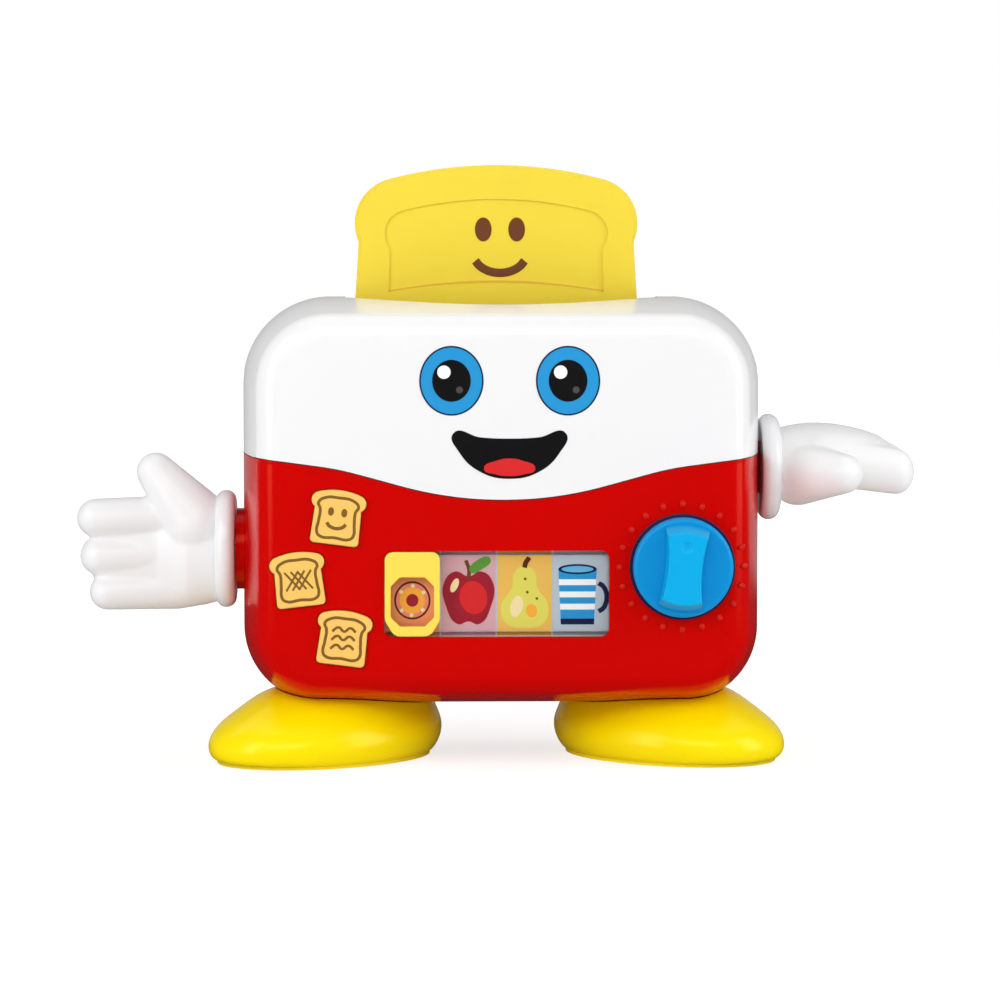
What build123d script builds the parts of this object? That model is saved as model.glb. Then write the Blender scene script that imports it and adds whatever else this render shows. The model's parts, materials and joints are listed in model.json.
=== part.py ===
"""Toy toaster that stands on two shoe-shaped feet.

A slice of toast pops up through the top. One hand is the lever that lowers it, the other hand turns at the
wrist, and the front carries a timer knob, three slice-shaped buttons and a selector over four pictures.
Each function builds one sub-assembly and returns its pieces by name.

Everything is in millimetres, +Z up, with the front facing -Y. The model is built about the middle plane of
the body (Y = 0) and written with its origin on the floor under the middle of the whole toy.
"""

from build123d import *
from math import cos, hypot, radians, sin, sqrt, tan
import os

# ---------------------------------------------------------------- body shell
body_width = 198.0
body_height = 156.0
body_depth = 90.0
body_bottom = 21.0  # height of the underside above the floor
corner_top = 33.5
corner_bottom = 30.0
crown_radius = 120.0  # gentle front-to-back bulge of the sides, top and bottom
edge_radius = 10.0  # rounding between the bulge and the flat front and back
wall = 2.4

# wavy joint between the white cover and the red housing
wave_low = 101.0  # height of the joint at the middle of the front
wave_radius = 160.0
wave_slope = radians(11.3)
lip_height = 3.0
lip_gap = 0.15

# ---------------------------------------------------------------- toast slot and slice
slot_length = 120.0
slot_end_width = 19.0
slot_middle_width = 54.0
funnel_top = 168.0
funnel_bottom = 150.0
chute_bottom = 136.0
chute_wall = 1.6

slice_x = -1.8  # the slice stands a little to the left in its opening
slice_base_width = 113.5
slice_neck_width = 104.6
slice_lobe_radius = 17.4
slice_lobe_x = 36.8
slice_height = 95.0
slice_thickness = 12.0
slice_top_radius = 160.0
slice_notch_rounding = 5.0
slice_crust = 13.0
slice_recess = 0.7
crumb_base_width = 86.0  # the sunk panel, if it ran down to the foot of the slice
crumb_neck_width = 81.0
crumb_lobe_radius = 9.0
crumb_lobe_x = 33.8
crumb_bottom = 46.0  # where the panel's bowed lower edge meets its sides, above the foot
crumb_bow = 4.0
slice_wall = 2.6  # the slice is moulded hollow and open along its foot
slice_bottom = 132.2

# ---------------------------------------------------------------- carriage, rods and latch
lever_travel = 40.0
rod_x = 74.0
rod_radius = 2.0
rod_foot = 39.0
rod_length = 129.0
running_gap = 0.05
beam_bottom = 122.0
beam_half_depth = 8.4
cradle_lip = 6.0
eye_radius = 5.5
eye_height = 18.0
bush_radius = 3.6
bush_length = 20.0
frame_height = 40.0  # height of the chassis plate above the floor
frame_thickness = 2.4
frame_length = 160.0
frame_depth = 26.0
socket_height = 10.0
socket_radius = 4.5
spring_wire = 0.45
spring_radius = 3.6
spring_turns = 8
magnet_x = 38.0
magnet_radius = 8.0
magnet_height = 20.0
armature_thickness = 1.6
latch_gap = 0.3

# ---------------------------------------------------------------- hands
cuff_thickness = 7.6
cuff_radius_thumbwards = 22.6
cuff_radius_palmwards = 20.4
cuff_rounding = 3.6
left_wrist_height = 79.9
left_cuff_x = 102.0
right_wrist_height = 111.3
right_cuff_x = 99.7
collar_radius = 15.6
collar_neck = 11.0
spindle_radius = 8.0
blade_half_height = 10.0
blade_half_thickness = 3.0
blade_gap = 0.5
blade_socket = 3.6  # how far the blade goes into the cuff
peg_radius = 7.0
peg_length = 3.2
palm_sections = (  # along the hand, towards the thumb, to the back of the hand, half width, half thickness
    (-2.6, 1.0, 1.0, 17.5, 13.0),
    (11.5, -0.5, 2.0, 20.0, 15.0),
    (22.5, -1.5, 2.6, 20.2, 12.6),
    (31.5, -2.0, 1.8, 17.0, 7.6),
)
fingers = (  # root, end, radius at the root, radius at the end
    ((20.0, 12.2, 3.0), (46.2, 12.0, -0.5), 9.5, 7.4),
    ((20.0, -3.1, 4.5), (45.2, -3.1, 1.0), 10.0, 8.2),
    ((20.0, -15.5, 3.0), (42.2, -16.2, 0.0), 8.5, 6.6),
    ((10.5, 10.0, -1.5), (24.0, 30.0, -1.2), 13.0, 7.4),
)

# ---------------------------------------------------------------- buttons
button_width = 20.5
button_height = 20.5
button_proud = 1.8
button_travel = 2.5
button_gap = 0.35
button_guide = 6.6
button_flange = 1.2
plunger_radius = 2.2
buttons = {  # name: (x, z, turn in degrees, clockwise seen from the front)
    "top": (-62.2, 94.7, 7.3),
    "middle": (-76.6, 71.5, -6.5),
    "bottom": (-60.0, 49.5, 7.3),
}

# ---------------------------------------------------------------- picture window and selector
window_left = -44.7
window_width = 84.2
window_bottom = 49.7
window_height = 32.3
window_slot = 1.4  # gap above and below the lens that the selector's legs run in
window_corner = 3.2
window_cells = 4
lens_recess = 1.6
lens_thickness = 1.8
lens_ear = 2.3
card_thickness = 0.4
selector_width = 20.7
selector_proud = 1.6
selector_gap = 0.3
selector_leg = 0.8
selector_barb = 1.5
selector_foot_corner = 4.2
selector_foot_inset = 3.6  # how much narrower the selector is at its foot
selector_foot_height = 6.0
sight_height = 18.4
sight_side = 2.3
sight_drop = 2.9
sight_chamfer = 3.4
sight_rounding = 1.6
light_rim = 1.0  # pale rim of the light box, seen through the gaps above and below the lens
light_rim_inset = 1.3  # how far the rim reaches behind the lens

# ---------------------------------------------------------------- timer knob
knob_x = 67.0
knob_z = 75.9
knob_radius = 18.7
knob_height = 5.4  # of the disc
knob_lift = 0.6
knob_edge = 1.6
grip_length = 27.0  # across the top of the finger grip
grip_end_width = 15.0
grip_waist = 12.4
grip_foot_length = 33.0  # where the grip runs out on the disc
grip_foot_spread = 1.0
grip_rise = 7.0
grip_edge = 0.9
grip_bow = 1.6
grip_lean = 5.4  # degrees clockwise from upright, at rest
dimple_up = 8.0  # from the knob's axis to the dimple that marks the setting
dimple_radius = 4.0
dimple_depth = 0.7
shaft_radius = 4.0
shaft_length = 26.0
tick_count = 20
tick_circle = 23.6
tick_length = 2.6
tick_width = 1.2
tick_rise = 0.5
wheel_radius = 10.0
wheel_teeth = 20
wheel_thickness = 4.0

# ---------------------------------------------------------------- circuit board
board_left = -88.0
board_right = 46.0
board_bottom = 40.0
board_top = 106.0
board_y = -27.0  # front face of the board
board_thickness = 1.6
dome_radius = 4.5
dome_height = button_travel + 0.8

# ---------------------------------------------------------------- rear fittings
door_width = 64.0
door_height = 54.0
door_bottom = 39.5
door_gap = 0.3
door_tab_x = 22.0
door_tab_width = 8.0
door_boss_radius = 3.9
cell_radius = 7.1
cell_length = 50.0
cell_pitch = 14.8
cell_count = 3
tray_wall = 1.6
tray_depth = 18.0
tray_lug_x = 38.5
tray_lug_y = 33.0
speaker_x = -60.0
speaker_z = 70.0
speaker_radius = 17.0
grille_hole = 1.3
switch_x = 60.0
switch_z = 62.0
switch_travel = 5.0
switch_thumb = 5.0

# ---------------------------------------------------------------- feet
foot_places = {  # side: (out from the middle, y, degrees that the toe points outwards and forwards)
    -1: (68.0, -8.0, 43.0),
    1: (65.3, -3.5, 47.0),
}
foot_long = 50.0  # half the length, heel to toe
foot_short = 36.0  # half the width
foot_wall = 2.4
foot_gap = 0.3
foot_sections = (  # height, share of full size, shift towards the heel
    (1.2, 0.92, 0.0),
    (5.6, 0.998, 0.2),
    (10.8, 0.995, 1.8),
    (16.3, 0.92, 4.4),
    (21.0, 0.826, 7.6),
    (26.0, 0.68, 11.4),
    (29.0, 0.52, 14.0),
)
sole_thickness = 1.2
sole_plug = 4.0
sole_recess = 0.4  # how deep the screw heads sit in the sole

# ---------------------------------------------------------------- posts and fasteners
chassis_post_x = 56.0
chassis_post_y = 9.0
foot_screw_y = {-1: -24.0, 1: 16.0}  # in the front and in the rear half
foot_boss_height = 14.0
board_posts = ((-83.0, 98.0), (-42.0, 101.0), (40.0, 101.0), (-41.0, 43.6), (40.0, 43.6))
switch_post = 15.5
joint_screw_seat = 10.0
sole_screw_reach = 30.0
chute_screw_x = 66.8
chute_screw_y = 9.0
chute_flange_z = 160.0
hook_x = 28.0
hook_width = 8.0
hook_bottom = 95.8
ledge_height = 1.6
screw_radius = 1.5
screw_head = 3.0
screw_head_height = 2.2
screw_gap = 0.1
post_radius = 3.4
joint_post_radius = 4.6
joint_screws = ((88.0, 47.0), (36.0, 31.0))  # x (both sides) and z of the screws that join front to rear

# ---------------------------------------------------------------- worked out
half_width = body_width / 2
half_depth = body_depth / 2
body_top = body_bottom + body_height
front = -half_depth
rear = half_depth
inner_front = front + wall
inner_rear = rear - wall
front_reach = half_depth + knob_lift + knob_height + grip_rise
rear_reach = half_depth
origin_y = (front_reach - rear_reach) / 2  # from the origin back to the body's middle plane
eye_bottom = beam_bottom - 6.0
magnet_bottom = beam_bottom - armature_thickness - lever_travel - latch_gap - magnet_height
window_right = window_left + window_width
window_top = window_bottom + window_height
lens_front = front + lens_recess
lens_back = lens_front + lens_thickness
cell_width = window_width / window_cells
tray_middle = door_bottom + door_height / 2
door_screw_z = door_bottom + door_height - door_boss_radius - 0.7


# ================================================================ shared shapes
def edge_section(corner, inset):
    """Half section of the body from a corner's axis outwards: bulged side, rounded edges, flat ends."""
    bulge = crown_radius - inset
    rounding = edge_radius - inset
    end = half_depth - inset
    bulge_centre = corner - crown_radius
    y_edge = end - rounding
    x_edge = bulge_centre + sqrt((bulge - rounding) ** 2 - y_edge**2)
    lean = (x_edge - bulge_centre) / (bulge - rounding), y_edge / (bulge - rounding)
    meet = bulge_centre + bulge * lean[0], bulge * lean[1]
    half_way = hypot(lean[0], 1 + lean[1])
    on_edge = x_edge + rounding * lean[0] / half_way, y_edge + rounding * (1 + lean[1]) / half_way
    side = [
        Line((0, -end), (x_edge, -end)),
        ThreePointArc((x_edge, -end), (on_edge[0], -on_edge[1]), (meet[0], -meet[1])),
        ThreePointArc((meet[0], -meet[1]), (bulge_centre + bulge, 0), meet),
        ThreePointArc(meet, on_edge, (x_edge, end)),
        Line((x_edge, end), (0, end)),
        Line((0, end), (0, -end)),
    ]
    return make_face(side)


def pillow(inset):
    """The body's outer form, taken in by inset all over."""
    right = half_width
    top_x, top_z = right - corner_top, body_top - corner_top
    low_x, low_z = right - corner_bottom, body_bottom + corner_bottom
    top_face, low_face = edge_section(corner_top, inset), edge_section(corner_bottom, inset)
    upright = Plane((top_x, 0, low_z), x_dir=(1, 0, 0), z_dir=(0, 0, 1))
    hanging = Plane((-top_x, 0, top_z), x_dir=(-1, 0, 0), z_dir=(0, 0, -1))
    over = Plane((top_x, 0, top_z), x_dir=(0, 0, 1), z_dir=(-1, 0, 0))
    under = Plane((-low_x, 0, low_z), x_dir=(0, 0, -1), z_dir=(1, 0, 0))
    form = Pos(0, 0, (top_z + low_z) / 2) * Box(2 * top_x, 2 * (half_depth - inset), top_z - low_z)
    form += extrude(upright * top_face, amount=top_z - low_z)
    form += extrude(hanging * top_face, amount=top_z - low_z)
    form += extrude(over * top_face, amount=2 * top_x)
    form += extrude(under * low_face, amount=2 * low_x)
    for x, z, face, toward in (
        (top_x, top_z, top_face, (1, 0, 0)),
        (-top_x, top_z, top_face, (0, 0, 1)),
        (-low_x, low_z, low_face, (-1, 0, 0)),
        (low_x, low_z, low_face, (0, 0, -1)),
    ):
        normal = Vector(toward).cross(Vector(0, 1, 0))
        start = Plane((x, 0, z), x_dir=toward, z_dir=normal)
        form += revolve(start * face, Axis((x, 0, z), (0, -1, 0)), revolution_arc=90)
    return form


def front_face(sketch, y, depth):
    """A sketch drawn as seen from the front (x right, y up), extruded backwards from y by depth."""
    seen = Plane((0, y, 0), x_dir=(1, 0, 0), z_dir=(0, -1, 0))
    return extrude(seen * sketch, amount=-depth)


def rod(start, end, radius):
    """A round bar from one point to another."""
    line = Vector(*end) - Vector(*start)
    return extrude(Plane(start, z_dir=line.normalized()) * Circle(radius), amount=line.length)


def tube(start, end, radius, bore):
    """A round bar with a hole along it."""
    return rod(start, end, radius) - rod(start, end, bore)


def screw(head_at, tip_at):
    """A pan-head screw whose head's underside is at head_at."""
    way = (Vector(*head_at) - Vector(*tip_at)).normalized()
    crown = Vector(*head_at) + way * screw_head_height
    head = rod(head_at, tuple(crown), screw_head)
    slot_plane = Plane(tuple(crown), z_dir=way)
    cross = Rectangle(3.4, 0.8) + Rectangle(0.8, 3.4)
    return head + rod(head_at, tip_at, screw_radius) - extrude(slot_plane * cross, amount=-1.0)


def above_wave(raised=0.0):
    """All the space above the joint line between cover and housing."""
    reach = half_width + 20
    ends = wave_low + wave_radius - wave_radius / cos(wave_slope) + reach * tan(wave_slope)
    bend_x = wave_radius * sin(wave_slope)
    bend_z = wave_low + wave_radius * (1 - cos(wave_slope))
    roof = body_top + 20
    outline = [
        Line((-reach, ends), (-bend_x, bend_z)),
        ThreePointArc((-bend_x, bend_z), (0, wave_low), (bend_x, bend_z)),
        Line((bend_x, bend_z), (reach, ends)),
        Line((reach, ends), (reach, roof)),
        Line((reach, roof), (-reach, roof)),
        Line((-reach, roof), (-reach, ends)),
    ]
    return Pos(0, 0, raised) * front_face(make_face(outline), -body_depth, 2 * body_depth)


def bread(base_width, neck_width, height, lobe_x, lobe_radius, top_radius):
    """Outline of a slice of bread, standing on y = 0; its domed top runs smoothly into round lobes."""
    lobe_y = height - top_radius + sqrt((top_radius - lobe_radius) ** 2 - lobe_x**2)
    base_corner = lobe_radius / 2
    trunk = make_face(
        Polyline(
            (-base_width / 2, 0),
            (base_width / 2, 0),
            (neck_width / 2, lobe_y),
            (-neck_width / 2, lobe_y),
            close=True,
        )
    )
    trunk = fillet(trunk.vertices().group_by(Axis.Y)[0], base_corner)
    meet_x = lobe_x * top_radius / (top_radius - lobe_radius)
    dome = Pos(0, height - top_radius) * Circle(top_radius)
    dome &= Pos(0, (height + lobe_y) / 2) * Rectangle(2 * meet_x, height - lobe_y)
    lobes = Pos(lobe_x, lobe_y) * Circle(lobe_radius) + Pos(-lobe_x, lobe_y) * Circle(lobe_radius)
    return trunk + dome + lobes


def lens_slot(length, end_width, middle_width):
    """The toast opening seen from above: straight short ends and long sides that bow outwards."""
    x, y, bow = length / 2, end_width / 2, middle_width / 2
    outline = [
        ThreePointArc((-x, -y), (0, -bow), (x, -y)),
        Line((x, -y), (x, y)),
        ThreePointArc((x, y), (0, bow), (-x, y)),
        Line((-x, y), (-x, -y)),
    ]
    return make_face(outline)


# ================================================================ sub-assemblies
def chute_space(grow):
    """The way down for the slice: bowed mouth, funnel and straight shaft, grown sideways by grow."""
    mouth = lens_slot(slot_length + 2 * grow, slot_end_width + 2 * grow, slot_middle_width + 2 * grow)
    throat = lens_slot(slot_length + 2 * grow, slot_end_width + 2 * grow, slot_end_width + 2 * grow + 0.4)
    way = extrude(Pos(0, 0, funnel_top) * mouth, amount=body_top - funnel_top + 5)
    way += loft([Pos(0, 0, funnel_bottom) * throat, Pos(0, 0, funnel_top) * mouth])
    way += extrude(Pos(0, 0, chute_bottom) * throat, amount=funnel_bottom - chute_bottom)
    return way


def lever_slot():
    """Upright slot in the right side wall for the lever blade, over its whole travel."""
    low = right_wrist_height - blade_half_height - lever_travel - blade_gap
    high = right_wrist_height + blade_half_height + blade_gap
    width = 2 * (blade_half_thickness + blade_gap)
    return Pos(half_width, 0, (low + high) / 2) * Box(30, width, high - low)


def shell_pieces():
    """White cover, red front housing and red rear housing, with what is moulded on them."""
    outer, inner = pillow(0), pillow(wall)
    lip_out = pillow(wall / 2)
    lip_in = pillow(wall / 2 - lip_gap)
    shell = outer - inner
    over, over_lip = above_wave(), above_wave(lip_height)
    lip = (lip_out - inner) & (over - over_lip)
    rebate = lip_in & (over - above_wave(lip_height + lip_gap))

    cover = (shell & over) - rebate - chute_space(0) - lever_slot()
    for x in (-rod_x, rod_x):
        boss = tube((x, 0, rod_foot + rod_length - 10), (x, 0, body_top), socket_radius, rod_radius + screw_gap)
        cover += boss & inner
    cover += chute_bosses() & inner
    cover += hooks()

    lower = (shell - over) + lip - lever_slot()
    collar_hole = rod((-half_width - 10, 0, left_wrist_height), (-half_width + 20, 0, left_wrist_height), collar_neck + 0.1)
    lower -= collar_hole
    half = Box(3 * body_width, body_depth, 3 * body_height)
    front_half = lower & (Pos(0, -half_depth, 0) * half)
    rear_half = lower & (Pos(0, half_depth, 0) * half)
    front_housing = front_fittings(front_half, inner)
    rear_housing = rear_fittings(rear_half, inner)
    return {"upper_cover": cover, "front_housing": front_housing, "rear_housing": rear_housing}


def chute_bosses():
    """Posts under the top of the cover that the chute is screwed to."""
    posts = Part()
    for x in (-chute_screw_x, chute_screw_x):
        for y in (-chute_screw_y, chute_screw_y):
            posts += tube((x, y, chute_flange_z), (x, y, body_top), 3.0, screw_radius + screw_gap)
    return posts


def hooks():
    """Snap hooks that hang from the cover inside the front and rear walls."""
    made = Part()
    height = wave_low + 12 - hook_bottom
    for x in (-hook_x, hook_x):
        for facing in (-1, 1):
            arm_y = facing * (half_depth - wall - ledge_height - 0.9)
            made += Pos(x, arm_y, hook_bottom + height / 2) * Box(hook_width, 1.4, height)
            barb_y = facing * (half_depth - wall - 0.2 - ledge_height / 2)
            made += Pos(x, barb_y, hook_bottom + 1.3) * Box(hook_width, ledge_height, 2.6)
            root_y = facing * (half_depth - wall - 0.9)
            made += Pos(x, root_y, wave_low + 9.5) * Box(hook_width, 3.2, 5.0)
    return made


def ledges(facing):
    """Beads inside the front or rear wall that the cover's hooks catch under."""
    made = Part()
    for x in (-hook_x, hook_x):
        y = facing * (half_depth - wall - ledge_height / 2 + 0.3)
        made += Pos(x, y, hook_bottom + 2.7 + ledge_height / 2) * Box(hook_width, ledge_height, ledge_height)
    return made


def joint_posts(facing):
    """Screw posts that run from the front or rear wall to the middle plane, at both sides."""
    posts = Part()
    for x, z in joint_screws:
        for side in (-x, x):
            posts += rod((side, facing * half_depth, z), (side, facing * 0.05, z), joint_post_radius)
    return posts


def standing_posts(facing):
    """Posts under the chassis plate and bosses for the foot screws, in the front or the rear half."""
    posts = Part()
    for side in (-1, 1):
        chassis_at = (side * chassis_post_x, facing * chassis_post_y)
        posts += rod((*chassis_at, body_bottom), (*chassis_at, frame_height), post_radius)
        foot_at = (side * foot_places[side][0], foot_screw_y[facing])
        posts += rod((*foot_at, body_bottom), (*foot_at, body_bottom + foot_boss_height), post_radius)
    return posts


def standing_holes(facing):
    """Pilot holes of the chassis and foot screws."""
    holes = Part()
    for side in (-1, 1):
        chassis_at = (side * chassis_post_x, facing * chassis_post_y)
        holes += rod((*chassis_at, frame_height - 9), (*chassis_at, frame_height + 5), screw_radius + screw_gap)
        foot_at = (side * foot_places[side][0], foot_screw_y[facing])
        holes += rod((*foot_at, body_bottom - 5), (*foot_at, body_bottom + foot_boss_height - 2), screw_radius + screw_gap)
    return holes


def button_outline(grow=0.0):
    """Slice-shaped outline of a button, centred, grown by grow."""
    outline = bread(
        button_width - 2.2, button_width - 3.2, button_height, button_width * 0.345, 3.2, button_width * 1.2
    )
    centred = Pos(0, -button_height / 2) * outline
    return offset(centred, amount=grow, kind=Kind.ARC) if grow else centred


def at_button(name, sketch):
    """Turns and places a button sketch, as seen from the front."""
    x, z, turn = buttons[name]
    return Pos(x, z) * Rot(0, 0, -turn) * sketch


def window_opening():
    """Outline of the picture window in the front wall."""
    opening = RectangleRounded(window_width, window_height, window_corner)
    return Pos((window_left + window_right) / 2, (window_bottom + window_top) / 2) * opening


def dial_ticks(outset):
    """Raised marks round the timer knob that follow the wall's surface."""
    marks = Sketch()
    for i in range(tick_count):
        turn = 360 * i / tick_count
        mark = SlotOverall(tick_length, tick_width)
        marks += Pos(knob_x, knob_z) * Rot(0, 0, turn) * Pos(tick_circle, 0) * mark
    return front_face(marks, front - 2, 8) & outset


def front_fittings(shell, inner):
    """Adds the front housing's guides, posts, openings and dial marks to its half of the shell."""
    proud = pillow(-tick_rise)
    skin = pillow(wall / 2)
    housing = shell + (dial_ticks(proud) - inner)
    guides, holes = Sketch(), Sketch()
    for name in buttons:
        guides += at_button(name, button_outline(button_gap + 1.4))
        holes += at_button(name, button_outline(button_gap))
    housing += front_face(guides, front, button_guide + wall) & skin
    posts = joint_posts(-1) + standing_posts(-1) + ledges(-1)
    for x, z in board_posts:
        posts += rod((x, front, z), (x, board_y, z), post_radius)
    for x, z in switch_posts():
        posts += rod((x, front, z), (x, board_y, z), post_radius)
    posts += rod((knob_x, front, knob_z), (knob_x, front + 10, knob_z), shaft_radius + 3.4)
    housing += posts & skin
    housing -= front_face(holes, front - 5, 20)
    housing -= front_face(window_opening(), front - 5, 10)
    housing -= rod((knob_x, front - 5, knob_z), (knob_x, front + 15, knob_z), shaft_radius + running_gap)
    for x, z in (*board_posts, *switch_posts()):
        housing -= rod((x, board_y + 5, z), (x, board_y - 8, z), screw_radius + screw_gap)
    for x, z in joint_screws:
        for side in (-x, x):
            housing -= rod((side, 5, z), (side, -12, z), screw_radius + screw_gap)
    return housing - standing_holes(-1)


def switch_posts():
    """Two posts that hold the timer switch behind the knob."""
    return ((knob_x - switch_post, knob_z + switch_post), (knob_x + switch_post, knob_z - switch_post))


def rear_fittings(shell, inner):
    """Adds the rear housing's posts, door opening, grille and switch slot to its half of the shell."""
    skin = pillow(wall / 2)
    posts = joint_posts(1) + standing_posts(1) + ledges(1)
    for x in (-tray_lug_x, tray_lug_x):
        posts += tube((x, rear, tray_middle), (x, tray_lug_y, tray_middle), post_radius, screw_radius + screw_gap)
    posts += tube((speaker_x, rear, speaker_z), (speaker_x, inner_rear - 3.0, speaker_z), speaker_radius + 1.8, speaker_radius + 0.1)
    for x in (-10, 10):
        posts += rod((switch_x + x, rear, switch_z), (switch_x + x, inner_rear - 1.6, switch_z), 1.2)
    housing = shell + (posts & skin)
    opening = Pos(0, door_bottom + door_height / 2) * Rectangle(door_width + 2 * door_gap, door_height + 2 * door_gap)
    housing -= front_face(opening, rear - 10, 20)
    grille = Sketch()
    for ring, count in enumerate((1, 6, 12)):
        for i in range(count):
            hole = Rot(0, 0, 360 * i / count) * Pos(ring * 5.2, 0) * Circle(grille_hole)
            grille += Pos(speaker_x, speaker_z) * hole
    housing -= front_face(grille, rear - 10, 20)
    slot = Rectangle(switch_thumb + switch_travel + 1.0, 4.2)
    housing -= front_face(Pos(switch_x, switch_z) * slot, rear - 10, 20)
    for x, z in joint_screws:
        for side in (-x, x):
            housing -= rod((side, -1, z), (side, rear + 5, z), screw_radius + 2 * screw_gap)
            housing -= rod((side, joint_screw_seat, z), (side, rear + 5, z), screw_head + 0.3)
    return housing - standing_holes(1)


def crumb_outline():
    """Sunk panel of the slice: its own outline made smaller, closed by a bowed lower edge."""
    crumb = bread(
        crumb_base_width,
        crumb_neck_width,
        slice_height - slice_crust,
        crumb_lobe_x,
        crumb_lobe_radius,
        slice_top_radius - slice_crust,
    )
    side = crumb_base_width / 2 + 1
    below = [
        ThreePointArc((-side, crumb_bottom), (0, crumb_bottom + crumb_bow), (side, crumb_bottom)),
        Line((side, crumb_bottom), (side, -1)),
        Line((side, -1), (-side, -1)),
        Line((-side, -1), (-side, crumb_bottom)),
    ]
    crumb -= make_face(below)
    notch = crumb.vertices().filter_by(lambda v: slice_height * 0.5 + crumb_bow < v.Y < slice_height * 0.7)
    return fillet(notch, slice_notch_rounding)


def toast_pieces():
    """The slice and the chute that guides it."""
    outline = bread(
        slice_base_width,
        slice_neck_width,
        slice_height,
        slice_lobe_x,
        slice_lobe_radius,
        slice_top_radius,
    )
    notch = outline.vertices().filter_by(lambda v: slice_height * 0.5 < v.Y < slice_height - slice_lobe_radius)
    outline = fillet(notch, slice_notch_rounding)
    body = front_face(outline, -slice_thickness / 2, slice_thickness)
    body = chamfer(body.faces().filter_by(Axis.Y).edges(), 1.2)
    crumb = crumb_outline()
    for y in (-slice_thickness / 2, slice_thickness / 2 - slice_recess):
        body -= front_face(crumb, y, slice_recess)
    core = offset(outline, amount=-slice_wall) & Pos(0, slice_height / 2) * Rectangle(slice_base_width, slice_height)
    core += Pos(0, slice_wall / 2) * Rectangle(slice_base_width - 2 * slice_wall - 8, 2 * slice_wall)
    body -= front_face(core, -slice_thickness / 2 + slice_wall, slice_thickness - 2 * slice_wall)
    slice_of_toast = Pos(slice_x, 0, slice_bottom) * body
    chute = (chute_space(chute_wall) - chute_space(0)) & pillow(wall + 0.1)
    screws = Part()
    for x in (-chute_screw_x, chute_screw_x):
        reach = abs(x) + 2.6 - slot_length / 2 - chute_wall / 2
        flange_x = (slot_length / 2 + chute_wall / 2 + reach / 2) * (1 if x > 0 else -1)
        chute += Pos(flange_x, 0, chute_flange_z - 1.0) * Box(reach, 2 * chute_screw_y + 7, 2.0)
        for y in (-chute_screw_y, chute_screw_y):
            chute -= rod((x, y, chute_flange_z - 5), (x, y, chute_flange_z + 5), screw_radius + screw_gap)
            screws += screw((x, y, chute_flange_z - 2.0), (x, y, chute_flange_z + 6.0))
    return {"toast_slice": slice_of_toast, "toast_chute": chute, "chute_screws": screws}


def carriage_pieces():
    """Beam that carries the slice, its bushes on the guide rods, the lever arm and the latch plate."""
    floor = slice_bottom - 0.2
    beam = Pos(0, 0, (beam_bottom + floor) / 2) * Box(2 * rod_x, 2 * beam_half_depth, floor - beam_bottom)
    lip_y = (slice_thickness / 2 + 0.4 + beam_half_depth) / 2
    lip_width = beam_half_depth - slice_thickness / 2 - 0.4
    for side in (-1, 1):
        beam += Pos(0, side * lip_y, floor + cradle_lip / 2) * Box(slot_length - 8, lip_width, cradle_lip)
        beam += rod((side * rod_x, 0, eye_bottom), (side * rod_x, 0, eye_bottom + eye_height), eye_radius)
    for x in range(-3, 4):
        pocket = Box(12, 2 * beam_half_depth - 4, floor - beam_bottom - 2)
        if abs(x * 16 - magnet_x) > magnet_radius + 6:
            beam -= Pos(x * 16, 0, beam_bottom + (floor - beam_bottom - 2) / 2) * pocket
    pad_x = rod_x + eye_radius + 1.0
    beam += Pos((rod_x + pad_x) / 2, 0, (beam_bottom + floor) / 2) * Box(pad_x - rod_x, 2 * beam_half_depth, floor - beam_bottom)
    bushes = Part()
    for side in (-1, 1):
        x = side * rod_x
        beam -= rod((x, 0, eye_bottom - 5), (x, 0, eye_bottom + eye_height + 5), bush_radius + running_gap)
        low = eye_bottom + (eye_height - bush_length) / 2
        bushes += tube((x, 0, low), (x, 0, low + bush_length), bush_radius, rod_radius + running_gap)
    wrist = right_wrist_height
    plate_top = floor
    plate_bottom = wrist - blade_half_height
    plate = Pos(pad_x + 2.1, 0, (plate_top + plate_bottom) / 2) * Box(4.0, 2 * beam_half_depth, plate_top - plate_bottom)
    blade_end = right_cuff_x + blade_socket
    blade_start = pad_x + 2.1
    blade = Pos((blade_start + blade_end) / 2, 0, wrist) * Box(
        blade_end - blade_start, 2 * blade_half_thickness, 2 * blade_half_height
    )
    arm = plate + blade
    screws = Part()
    for y in (-5.0, 5.0):
        z = (beam_bottom + floor) / 2
        arm -= rod((pad_x - 1, y, z), (pad_x + 6, y, z), screw_radius + screw_gap)
        beam -= rod((pad_x + 1, y, z), (pad_x - 7, y, z), screw_radius + screw_gap)
        screws += screw((pad_x + 4.2, y, z), (pad_x - 5, y, z))
    plate_z = beam_bottom - armature_thickness
    armature = rod((magnet_x, 0, plate_z), (magnet_x, 0, beam_bottom - 0.05), magnet_radius - 1)
    return {
        "carriage_beam": beam,
        "carriage_bushes": bushes,
        "lever_arm": arm,
        "lever_screws": screws,
        "latch_plate": armature,
    }


def helix_spring(x, low, high):
    """Compression spring round a guide rod, with closed flat ends."""
    height = high - low - 2 * spring_wire
    path = Helix(pitch=height / spring_turns, height=height, radius=spring_radius)
    start = path @ 0
    section = Plane(start, z_dir=path % 0) * RegularPolygon(spring_wire, 6)
    return Pos(x, 0, low + spring_wire) * sweep(section, path=path, is_frenet=True)


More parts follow.
